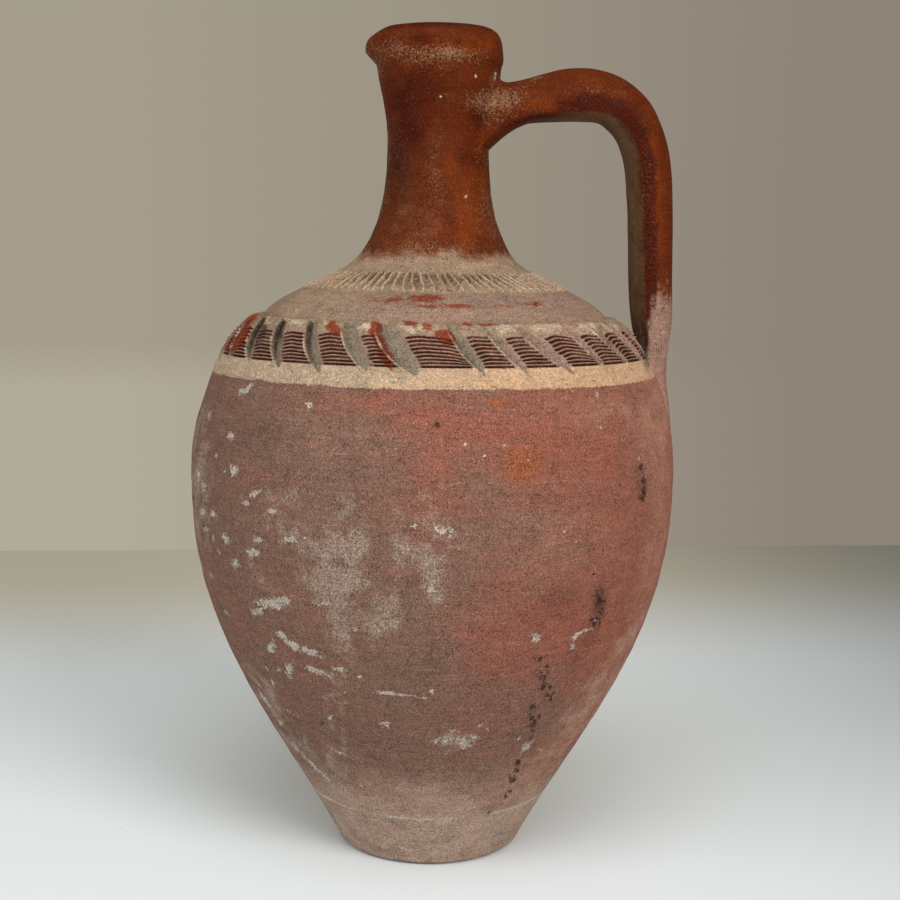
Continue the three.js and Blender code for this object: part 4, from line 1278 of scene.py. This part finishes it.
def grid_normals(points):
    along = np.gradient(points, axis=0)
    around = np.roll(points, -1, axis=1) - np.roll(points, 1, axis=1)
    normal = np.cross(around, along)
    return normal / np.maximum(np.linalg.norm(normal, axis=-1, keepdims=True), 1e-9)


def quarter_curve(near):
    """How far a round fillet of radius 1 stands off, from 0 at its far end to 1 against the wall."""
    return 1 - np.sqrt(np.clip(1 - near**2, 0, 1))


def rooted_strap(points, depth):
    """The strap with its root bent round the neck and filleted, and its tail spread over the body."""
    x, y, level = points[..., 0].copy(), points[..., 1].copy(), points[..., 2].copy()
    at_root = x < ROOT_LIMIT
    half_chord = np.minimum(np.abs(y), ROOT_BEND_HALF_WIDTH)
    sagitta = ROOT_BEND_RADIUS - np.sqrt(ROOT_BEND_RADIUS**2 - half_chord**2)
    x -= sagitta * (1 - ease(x, *ROOT_BEND_REACH)) * at_root
    gap = np.hypot(x, y) - radius_at(NECK_OUTLINE, level) - WAIST_SWELL
    drop = ROOT_DROP * np.clip(1 - gap / ROOT_REACH, 0, 1) ** ROOT_CURVE * (1 - depth) ** 1.5
    lift = 0.8 * ROOT_FILLET * quarter_curve(np.clip(1 - gap / ROOT_FILLET, 0, 1)) * ease(depth, 0.5, 1)
    level += (lift - drop) * at_root
    outward, _ = normal_at(WALL_OUTLINE, level)
    body_gap = (np.hypot(x, y) - radius_at(WALL_OUTLINE, level)) * outward
    low = (1 - ease(level, BAND_BASE - 8, BAND_BASE + 1)) * (1 - at_root)
    y += np.sign(y) * TAIL_SPREAD * np.clip(1 - body_gap / TAIL_FILLET, 0, 1) ** 2 * low
    return np.stack([x, y, level], axis=-1)


def make_strap(slip_material, body_material):
    plain, depth, corner, along = strap_grid()
    points = rooted_strap(plain, depth)
    normal = grid_normals(points)
    centre = points.mean(axis=1, keepdims=True)
    normal = normal * np.sign(np.sum(normal * (points - centre), axis=-1, keepdims=True))
    grooves = np.stack([along[:, None] / 9 + 0 * depth, points[..., 1], depth * 14], axis=-1)
    pulled = noises(grooves, (0.22, 3.4, 0.0), (0.12, 1.4, 2.3))
    bumps = noises(points, (0.3, 26, 1.9), (0.12, 8, 3.7)) + pulled
    points = points + normal * bumps[..., None]
    masks = wear(points, with_back=False)
    drawn = points * (1, 1, 0.2)
    fade = points[..., 2] + 7 * noise(drawn, 4, 8.3) + 5 * noise(drawn, 1.6, 1.1)
    masks["slip"] = ease(fade + 16 * (1 - ease(depth, 0, 0.3)), *STRAP_SLIP_FADE)
    masks["wash"] = ease(points[..., 2] + 5 * noise(points, 9, 6.6), *STRAP_WASH_FADE)
    past_root = ease(points[..., 0], *PALM_FADE)
    masks["palm"] = (1 - ease(depth, 0.02, 0.14)) * past_root
    # Painted shade along the strap's corners.
    masks["deep"] = np.maximum(masks["deep"], 1.1 * corner * past_root)
    centre_x = centre[:, 0, 0]
    wad_end = int(np.argmax(centre_x > WAD_FACE))
    lower_start = int(np.argmax((centre[:, 0, 2] < BAND_BASE) & (centre_x > ROOT_LIMIT)))
    spans = (
        ("upper_wad", 0, wad_end, slip_material, "neck_slip"),
        ("handle", wad_end, lower_start, slip_material, "neck_slip"),
        ("lower_wad", lower_start, len(points) - 1, body_material, "body_clay"),
    )
    for name, start, end, material, slot in spans:
        part = points[start:end + 1]
        part_masks = {key: values[start:end + 1] for key, values in masks.items()}
        add_piece(name, slot, material, part, part_masks, (0, len(part) - 1), wrapped=False)


# Materials


def linear(red, green, blue):
    """A colour seen on screen, 0 to 255, as the light that a surface returns."""
    channels = []
    for value in (red, green, blue):
        share = value / 255
        channels.append(share / 12.92 if share <= 0.04045 else ((share + 0.055) / 1.055) ** 2.4)
    return (*channels, 1.0)


CLAY_MAUVE = linear(136, 104, 89)
# The warmer clay, also mixed in where light is painted on the lit side.
CLAY_WARM = linear(162, 97, 79)
CLAY_DEEP = linear(112, 78, 63)
ORANGE_CLAY = linear(170, 96, 58)
ASH_CLAY = linear(196, 168, 148)
BEIGE_CLAY = linear(174, 148, 119)
CREAM_SLIP = linear(222, 180, 142)
CREAM_GREY = linear(190, 168, 142)
CREAM_SPECK = linear(140, 96, 74)
CREAM_LIGHT = linear(244, 212, 172)
CHALK_SLIP = linear(214, 196, 166)
PINK_SLIP = linear(188, 150, 132)
PINK_DEEP = linear(158, 114, 98)
MAUVE_SLIP = linear(156, 128, 112)
# A painted lit tone for the comb's ridge crests.
RIDGE_LIT = linear(168, 124, 102)
RED_SLIP = linear(110, 44, 9)
# Deeper slip, also the tone of painted shade.
DEEP_SLIP_AND_SHADE = linear(72, 17, 2)
# Brighter slip, also where light is painted on the lit side.
BRIGHT_SLIP = linear(134, 57, 9)
# A haze on the slip, also the tone of its painted sheen.
HAZE_AND_SHEEN_SLIP = linear(120, 72, 44)
FILM_CLAY = linear(196, 142, 120)
RED_PATCH = linear(142, 52, 24)
# Painted shade for the comb's valleys and flanks, the nicks and the gouges' hollows, and a painted highlight
# for the burrs; the gouge tones are the clay's own.
VALLEY_SHADE = linear(58, 38, 30)
VALLEY_RED_SHADE = linear(90, 44, 34)
FLANK_SHADE = linear(96, 58, 45)
NICK_SHADE = linear(134, 112, 88)
GOUGE_CLAY = linear(138, 126, 108)
GOUGE_PINK = linear(152, 122, 108)
HOLLOW_SHADE = linear(66, 54, 42)
BURR_HIGHLIGHT = linear(208, 180, 154)
LIME = linear(206, 198, 184)
BLOOM_GREY = linear(172, 154, 138)
DUST_BEIGE = linear(160, 122, 88)
PALM_OLIVE = linear(122, 90, 60)
STAIN = linear(54, 40, 34)
# Grime, and the tone of painted shade.
GRIME_AND_SHADE = linear(62, 50, 40)

# The lights are strong, so that the floor is near white, and every clay tone is dimmed by this share.
SHADE = 0.66


class Graph:
    """Adds nodes to a material or a world. Any input can be a socket or a plain value."""

    def __init__(self, owner, place="Object"):
        owner.use_nodes = True
        self.owner = owner
        self.tree = owner.node_tree
        self.shader = self.tree.nodes.get("Principled BSDF")
        self.place = self.tree.nodes.new("ShaderNodeTexCoord").outputs[place]

    def axes(self):
        split = self.tree.nodes.new("ShaderNodeSeparateXYZ")
        self.set(split.inputs[0], self.place)
        return split.outputs

    def set(self, socket, value):
        if isinstance(value, bpy.types.NodeSocket):
            self.tree.links.new(value, socket)
        else:
            socket.default_value = value

    def math(self, operation, *values, clamp=False):
        node = self.tree.nodes.new("ShaderNodeMath")
        node.operation = operation
        node.use_clamp = clamp
        for socket, value in zip(node.inputs, values):
            self.set(socket, value)
        return node.outputs[0]

    def noise(self, size, detail=4.0, roughness=0.55, flatten=1.0, twist=0.0):
        """Noise from 0 to 1 with lumps of a size in millimetres, flattened in height."""
        mapping = self.tree.nodes.new("ShaderNodeMapping")
        mapping.inputs["Scale"].default_value = (1, 1, flatten)
        mapping.inputs["Location"].default_value = (twist, twist * 0.7, twist * 1.3)
        self.set(mapping.inputs["Vector"], self.place)
        node = self.tree.nodes.new("ShaderNodeTexNoise")
        node.inputs["Scale"].default_value = MM / size
        node.inputs["Detail"].default_value = detail
        node.inputs["Roughness"].default_value = roughness
        self.set(node.inputs["Vector"], mapping.outputs[0])
        return node.outputs[0]

    def mask(self, name):
        node = self.tree.nodes.new("ShaderNodeAttribute")
        node.attribute_name = name
        return node.outputs["Fac"]

    def step(self, value, start, end, kind="SMOOTHSTEP"):
        node = self.tree.nodes.new("ShaderNodeMapRange")
        node.interpolation_type = kind
        self.set(node.inputs["Value"], value)
        node.inputs["From Min"].default_value = start
        node.inputs["From Max"].default_value = end
        return node.outputs["Result"]

    def mix(self, factor, first, second, blend="MIX"):
        node = self.tree.nodes.new("ShaderNodeMix")
        node.data_type = "RGBA"
        node.blend_type = blend
        self.set(node.inputs[0], factor)
        self.set(node.inputs[6], first)
        self.set(node.inputs[7], second)
        return node.outputs[2]

    def layer(self, under, value, start, end, strength, tone):
        """A tone laid over a colour, growing to a strength as a value goes from start to end."""
        return self.mix(self.share(self.step(value, start, end), strength), under, tone)

    def blotch(self, name, grain, raggedness=0.8, low=0.42, high=0.58):
        """A mask whose edge is broken up by a grain."""
        shake = self.math("MULTIPLY", self.math("SUBTRACT", grain, 0.5), raggedness * 2)
        there = self.step(self.mask(name), 0.02, 0.25)
        broken = self.math("ADD", self.mask(name), shake)
        return self.math("MULTIPLY", self.step(broken, low, high), there)

    def share(self, value, strength):
        return self.math("MULTIPLY", value, strength)

    def about_zero(self, grain, strength):
        """A noise moved to lie about 0, times a strength."""
        return self.math("MULTIPLY", self.math("SUBTRACT", grain, 0.5), strength)


def clay_material(name, light, dark, deep, roughness):
    """Fired clay that mottles between three tones, under every slip, stain and fleck of the jug, and under
    its painted light, shade and sheen.
    """
    g = Graph(bpy.data.materials.new(name))
    broad = g.noise(48, 3)
    streak = g.noise(34, 5, 0.65, flatten=9, twist=3.1)
    line = g.noise(12, 3, 0.6, flatten=10, twist=4.3)
    middle = g.noise(11, 5, 0.62, twist=0.3)
    small = g.noise(3.2, 4, 0.68, twist=0.7)
    grain = g.noise(1.1, 3, 0.7, twist=1.1)
    grit = g.noise(0.6, 2, 0.7, twist=5.7)
    speck = g.noise(0.8, 2, 0.6, twist=1.9)
    pit = g.noise(1.3, 2, 0.6, twist=2.7)

    # The bare clay, warmer where the warm mask paints light on the lit side
    warmth = g.math("ADD", g.mask("warm_and_lit"), g.about_zero(broad, 0.9))
    warmth = g.math("ADD", warmth, g.about_zero(streak, 0.7))
    colour = g.mix(g.step(warmth, -0.1, 1.0), dark, light)
    colour = g.layer(colour, middle, 0.48, 0.72, 0.45, deep)
    colour = g.layer(colour, streak, 0.5, 0.75, 0.3, light)
    colour = g.mix(g.share(g.blotch("orange", small, 0.5, 0.25, 0.95), 0.85), colour, ORANGE_CLAY)
    ash = g.math("MULTIPLY", g.mask("ash"), g.math("ADD", g.share(middle, 0.6), 0.45), clamp=True)
    colour = g.mix(ash, colour, ASH_CLAY)
    wash = g.mix(g.step(small, 0.35, 0.7), PINK_SLIP, PINK_DEEP)
    colour = g.mix(g.share(g.mask("wash"), 0.85), colour, wash)
    colour = g.mix(g.math("MULTIPLY", g.mask("beige"), g.math("ADD", middle, 0.3), clamp=True),
                   colour, BEIGE_CLAY)

    # The red slip of the neck, rim and strap
    # The slip turns brighter where the warm mask paints light on the lit side.
    slip_warmth = g.math("ADD", g.mask("warm_and_lit"), g.about_zero(middle, 1.2))
    slip_tone = g.mix(g.step(slip_warmth, 0.0, 0.9), RED_SLIP, BRIGHT_SLIP)
    # The slip turns deeper where the deep mask holds deeper slip and painted shade.
    depth = g.math("ADD", g.mask("deep"), g.about_zero(g.noise(17, 5, 0.6, twist=2.3), 1.5))
    slip_tone = g.layer(slip_tone, depth, 0.05, 0.95, 0.9, DEEP_SLIP_AND_SHADE)
    slip_tone = g.layer(slip_tone, small, 0.52, 0.75, 0.35, DEEP_SLIP_AND_SHADE)
    slip_tone = g.layer(slip_tone, grit, 0.52, 0.64, 0.4, DEEP_SLIP_AND_SHADE)
    slip_tone = g.layer(slip_tone, speck, 0.56, 0.68, 0.3, HAZE_AND_SHEEN_SLIP)
    slip = g.blotch("slip", small, 0.6, 0.1, 0.9)
    colour = g.mix(slip, colour, slip_tone)
    palm = g.math("MULTIPLY", g.mask("palm"), g.math("ADD", g.share(middle, 1.4), 0.1), clamp=True)
    colour = g.mix(g.math("MULTIPLY", palm, slip), colour, PALM_OLIVE)

    # The cream slip, its chalky patches, the haze on the clay and a painted sheen on the slip
    # The cream turns warmer where the warm mask paints light.
    cream_tone = g.mix(g.step(g.math("ADD", g.mask("warm_and_lit"), g.about_zero(middle, 0.6)), 0.0, 0.5),
                       CREAM_GREY, CREAM_SLIP)
    cream_tone = g.layer(cream_tone, grit, 0.52, 0.66, 0.8, CREAM_SPECK)
    cream_tone = g.layer(cream_tone, speck, 0.5, 0.62, 0.6, CREAM_LIGHT)
    colour = g.mix(g.blotch("cream", grain, 0.6, 0.25, 0.7), colour, cream_tone)
    chalk = g.blotch("chalk", g.mix(0.5, small, grain), 1.4, 0.35, 0.7)
    colour = g.mix(g.share(chalk, 0.75), colour, CHALK_SLIP)
    haze = g.math("ADD", g.share(g.step(g.mix(0.5, grit, grain), 0.4, 0.62), 0.7), 0.3)
    bloom_and_sheen = g.blotch("bloom_and_sheen", middle, 1.2, 0.15, 0.8)
    # On slip, bloom and film take the tone of a painted sheen.
    bloom_tone = g.mix(slip, BLOOM_GREY, HAZE_AND_SHEEN_SLIP)
    colour = g.mix(g.math("MULTIPLY", g.share(bloom_and_sheen, 0.85), haze), colour, bloom_tone)
    film = g.math("MULTIPLY", g.mask("film_and_sheen"), g.math("ADD", g.share(middle, 0.8), 0.35), clamp=True)
    colour = g.mix(g.share(film, 0.85), colour, g.mix(slip, FILM_CLAY, HAZE_AND_SHEEN_SLIP))
    colour = g.mix(g.share(g.blotch("scratch", grain, 0.6, 0.2, 0.6), 0.75), colour, LIME)

    # The combed, slashed and nicked places, with painted light and shade over their relief and patches of red
    # slip
    # The gouges turn pinker where the warm mask paints light.
    gouge_tone = g.mix(g.step(g.math("ADD", g.mask("warm_and_lit"), g.about_zero(small, 0.8)), 0.2, 0.7),
                       GOUGE_CLAY, GOUGE_PINK)
    colour = g.mix(g.share(g.mask("gouge"), 0.9), colour, gouge_tone)
    # Painted light and shade across the comb's grooves: a lit tone on the ridge crests, shade on the flanks
    # and in the valleys.
    valley_shade = g.mix(g.step(g.mask("warm_and_lit"), 0.1, 0.8), VALLEY_SHADE, VALLEY_RED_SHADE)
    colour = g.layer(colour, g.mask("ridge"), 0.7, 1.0, 0.85, RIDGE_LIT)
    colour = g.mix(g.step(g.mask("valley"), 0.04, 0.35), colour, FLANK_SHADE)
    smudge = g.mix(0.5, g.noise(2.6, 4, 0.7, flatten=3.5, twist=5.1), grain)
    colour = g.mix(g.share(g.blotch("red", smudge, 1.3, 0.4, 0.62), 0.88), colour, RED_PATCH)
    # Painted shade in the valleys, the gouges' hollows and the nicks, a painted highlight on the burrs, then
    # grime with painted shade.
    for mask_name, start, end, strength, tone in (
        ("valley", 0.35, 0.85, 0.95, valley_shade), ("hollow_shade", 0.1, 1.0, 0.9, HOLLOW_SHADE),
        ("nick", 0.08, 0.6, 0.85, NICK_SHADE), ("burr", 0.25, 0.85, 0.85, BURR_HIGHLIGHT),
        ("grime_and_shade", 0.05, 0.95, 0.85, GRIME_AND_SHADE),
    ):
        colour = g.layer(colour, g.mask(mask_name), start, end, strength, tone)

    # Dust, specks, pits, stains and flecks
    thick = g.math("ADD", g.mask("dust"), g.about_zero(g.mix(0.5, grit, grain), 3.4))
    dust = g.math("MULTIPLY", g.step(thick, 0.4, 1.0), g.step(g.mask("dust"), 0.03, 0.4))
    colour = g.mix(g.share(dust, 0.75), colour, DUST_BEIGE)
    bare = g.math("SUBTRACT", 1.0, g.share(slip, 0.85))
    colour = g.mix(g.math("MULTIPLY", g.share(g.step(speck, 0.6, 0.72), 0.3), bare), colour, LIME)
    colour = g.layer(colour, pit, 0.6, 0.74, 0.35, STAIN)
    thrown = g.share(g.step(g.noise(16, 3, 0.6, flatten=16, twist=8.8), 0.58, 0.7), 0.1)
    colour = g.mix(g.math("MULTIPLY", thrown, bare), colour, LIME)
    stain = g.blotch("dark", g.mix(0.6, small, grain), 1.9, 0.42, 0.7)
    colour = g.mix(g.share(stain, 0.9), colour, STAIN)
    fleck = g.blotch("pale", g.mix(0.6, small, grain), 1.3, 0.4, 0.66)
    thin = g.math("ADD", g.share(grain, 0.9), 0.25)
    colour = g.mix(g.math("MULTIPLY", fleck, thin, clamp=True), colour, LIME)

    shade = g.math("ADD", g.about_zero(grit, 1.9), SHADE)
    for layer, strength in ((grain, 0.8), (small, 0.75), (middle, 0.7), (line, 0.5), (streak, 0.2)):
        shade = g.math("ADD", shade, g.about_zero(layer, strength * SHADE))
    shade = g.math("MAXIMUM", shade, 0.15)
    tint = g.tree.nodes.new("ShaderNodeCombineColor")
    for channel in range(3):
        g.set(tint.inputs[channel], shade)
    colour = g.mix(1.0, colour, tint.outputs[0], "MULTIPLY")
    g.set(g.shader.inputs["Base Color"], colour)
    rough = g.math("ADD", g.math("SUBTRACT", roughness, g.share(slip, 0.25)), g.about_zero(small, 0.3))
    g.set(g.shader.inputs["Roughness"], g.math("MAXIMUM", rough, 0.4))
    g.shader.inputs["Specular IOR Level"].default_value = 0.05
    height = g.math("ADD", g.share(grain, 0.6), g.share(small, 0.9))
    height = g.math("ADD", height, g.share(line, 0.5))
    height = g.math("ADD", height, g.share(fleck, 0.35))
    height = g.math("SUBTRACT", height, g.share(g.step(pit, 0.62, 0.74), 0.4))
    bump = g.tree.nodes.new("ShaderNodeBump")
    bump.inputs["Strength"].default_value = 0.6
    bump.inputs["Distance"].default_value = 0.45 / MM
    g.set(bump.inputs["Height"], height)
    g.set(g.shader.inputs["Normal"], bump.outputs[0])
    return g.owner


# The stage: a pale floor, soft light from the front and above, and the photograph's camera


# The floor's edges and the places over which its tones change, in metres. The wall's and the room's
# tones change over parts of the view direction.
FLOOR_BACK = 0.69
FLOOR_SIDE = 2.2
FLOOR_FRONT = -1.6
WALL_LEFT = linear(178, 171, 154)
WALL_LEFT_HIGH = linear(166, 158, 140)
WALL_RIGHT = linear(141, 132, 120)
ROOM_BEHIND = linear(128, 124, 118)
WALL_HIGH_FADE = (-0.09, -0.06)
WALL_RIGHT_FADE = (-0.12, 0.34)
ROOM_FADE = (-0.3, 0.6)
FLOOR_COLOUR = linear(234, 241, 244)
# Painted shade towards the right of the floor.
FLOOR_RIGHT_SHADE = linear(156, 165, 174)
FLOOR_FAR_TINT = (0.75, 0.66, 0.52, 1.0)
FLOOR_FAR_FADE = (0.25, 0.6)
FLOOR_RIGHT_SHADE_FADE = (0.05, 0.6)
FLOOR_SCUFF = linear(120, 104, 88)


def floor_paint():
    """White paint with painted shade towards the right, darker and warmer towards the back, with few scuffs.
    """
    g = Graph(bpy.data.materials.new("floor_paint"))
    across, deep, _ = g.axes()
    colour = g.mix(g.step(across, *FLOOR_RIGHT_SHADE_FADE), FLOOR_COLOUR, FLOOR_RIGHT_SHADE)
    far = g.mix(1.0, colour, FLOOR_FAR_TINT, "MULTIPLY")
    colour = g.mix(g.step(deep, *FLOOR_FAR_FADE), colour, far)
    scuff = g.step(g.noise(7, 3, 0.6, flatten=0.4), 0.72, 0.78)
    colour = g.mix(g.share(scuff, 0.5), colour, FLOOR_SCUFF)
    g.set(g.shader.inputs["Base Color"], colour)
    g.shader.inputs["Roughness"].default_value = 0.6
    return g.owner


def make_floor():
    mesh = bpy.data.meshes.new("floor")
    corners = [
        (-FLOOR_SIDE, FLOOR_FRONT, 0), (FLOOR_SIDE, FLOOR_FRONT, 0),
        (FLOOR_SIDE, FLOOR_BACK, 0), (-FLOOR_SIDE, FLOOR_BACK, 0),
    ]
    mesh.from_pydata(corners, [], [(0, 1, 2, 3)])
    floor = bpy.data.objects.new("floor", mesh)
    floor.data.materials.append(floor_paint())
    bpy.context.collection.objects.link(floor)


def make_room():
    """The wall's tones, from light on the left to dark on the right, and a darker room in front of it."""
    g = Graph(bpy.data.worlds.new("room"), "Generated")
    across, deep, high = g.axes()
    left = g.mix(g.step(high, *WALL_HIGH_FADE, "LINEAR"), WALL_LEFT, WALL_LEFT_HIGH)
    wall = g.mix(g.step(across, *WALL_RIGHT_FADE, "LINEAR"), left, WALL_RIGHT)
    room = g.mix(g.step(deep, *ROOM_FADE, "LINEAR"), ROOM_BEHIND, wall)
    g.set(g.tree.nodes["Background"].inputs["Color"], room)
    bpy.context.scene.world = g.owner


# Each lamp's name, place, what it points at, width, power and colour, in metres and watts.
LAMPS = (
    ("window", (0.95, -1.6, 1.1), (0, 0, 0.2), 1.1, 28, (1.0, 0.97, 0.93)),
    ("room_fill", (-1.6, -0.9, 0.8), (0, 0, 0.2), 1.4, 16, (0.94, 0.97, 1.0)),
    ("ceiling", (-0.1, -1.2, 1.9), (0, -0.5, 0), 1.5, 20, (0.95, 0.98, 1.0)),
)


def soft_light(name, place, target, width, power, colour):
    lamp = bpy.data.lights.new(name, "AREA")
    lamp.shape = "DISK"
    lamp.size = width
    lamp.energy = power
    lamp.color = colour
    holder = bpy.data.objects.new(name, lamp)
    holder.location = place
    aim = Vector(target) - Vector(place)
    holder.rotation_euler = aim.to_track_quat("-Z", "Y").to_euler()
    bpy.context.collection.objects.link(holder)


def make_camera():
    right, up, forward = camera_axes()
    lens = bpy.data.cameras.new("photo_camera")
    lens.sensor_width = SENSOR_WIDTH
    lens.lens = FOCAL_PIXELS * SENSOR_WIDTH / IMAGE_PIXELS
    lens.clip_start = 0.01
    holder = bpy.data.objects.new("photo_camera", lens)
    turn = Matrix((right, up, -forward)).transposed()
    holder.matrix_world = Matrix.Translation(CAMERA_PLACE / MM) @ turn.to_4x4()
    bpy.context.collection.objects.link(holder)
    bpy.context.scene.camera = holder


body_clay = clay_material("body_clay", CLAY_WARM, CLAY_MAUVE, CLAY_DEEP, 0.9)
foot_clay = clay_material("foot_clay", ASH_CLAY, CLAY_MAUVE, CLAY_DEEP, 0.9)
shoulder_slip = clay_material("shoulder_slip", PINK_SLIP, MAUVE_SLIP, PINK_DEEP, 0.88)
band_clay = clay_material("band_clay", PINK_SLIP, MAUVE_SLIP, PINK_DEEP, 0.88)
neck_slip = clay_material("neck_slip", PINK_SLIP, MAUVE_SLIP, PINK_DEEP, 0.85)

make_foot(foot_clay)
make_lower_body(body_clay)
make_upper_body(body_clay)
make_comb_band(band_clay)
make_shoulder(shoulder_slip)
make_neck_coil(shoulder_slip)
make_neck(neck_slip)
make_mouth_rim(neck_slip)
make_strap(neck_slip, body_clay)

make_floor()
make_room()
for lamp in LAMPS:
    soft_light(*lamp)
make_camera()
bpy.context.scene.view_settings.view_transform = "Standard"
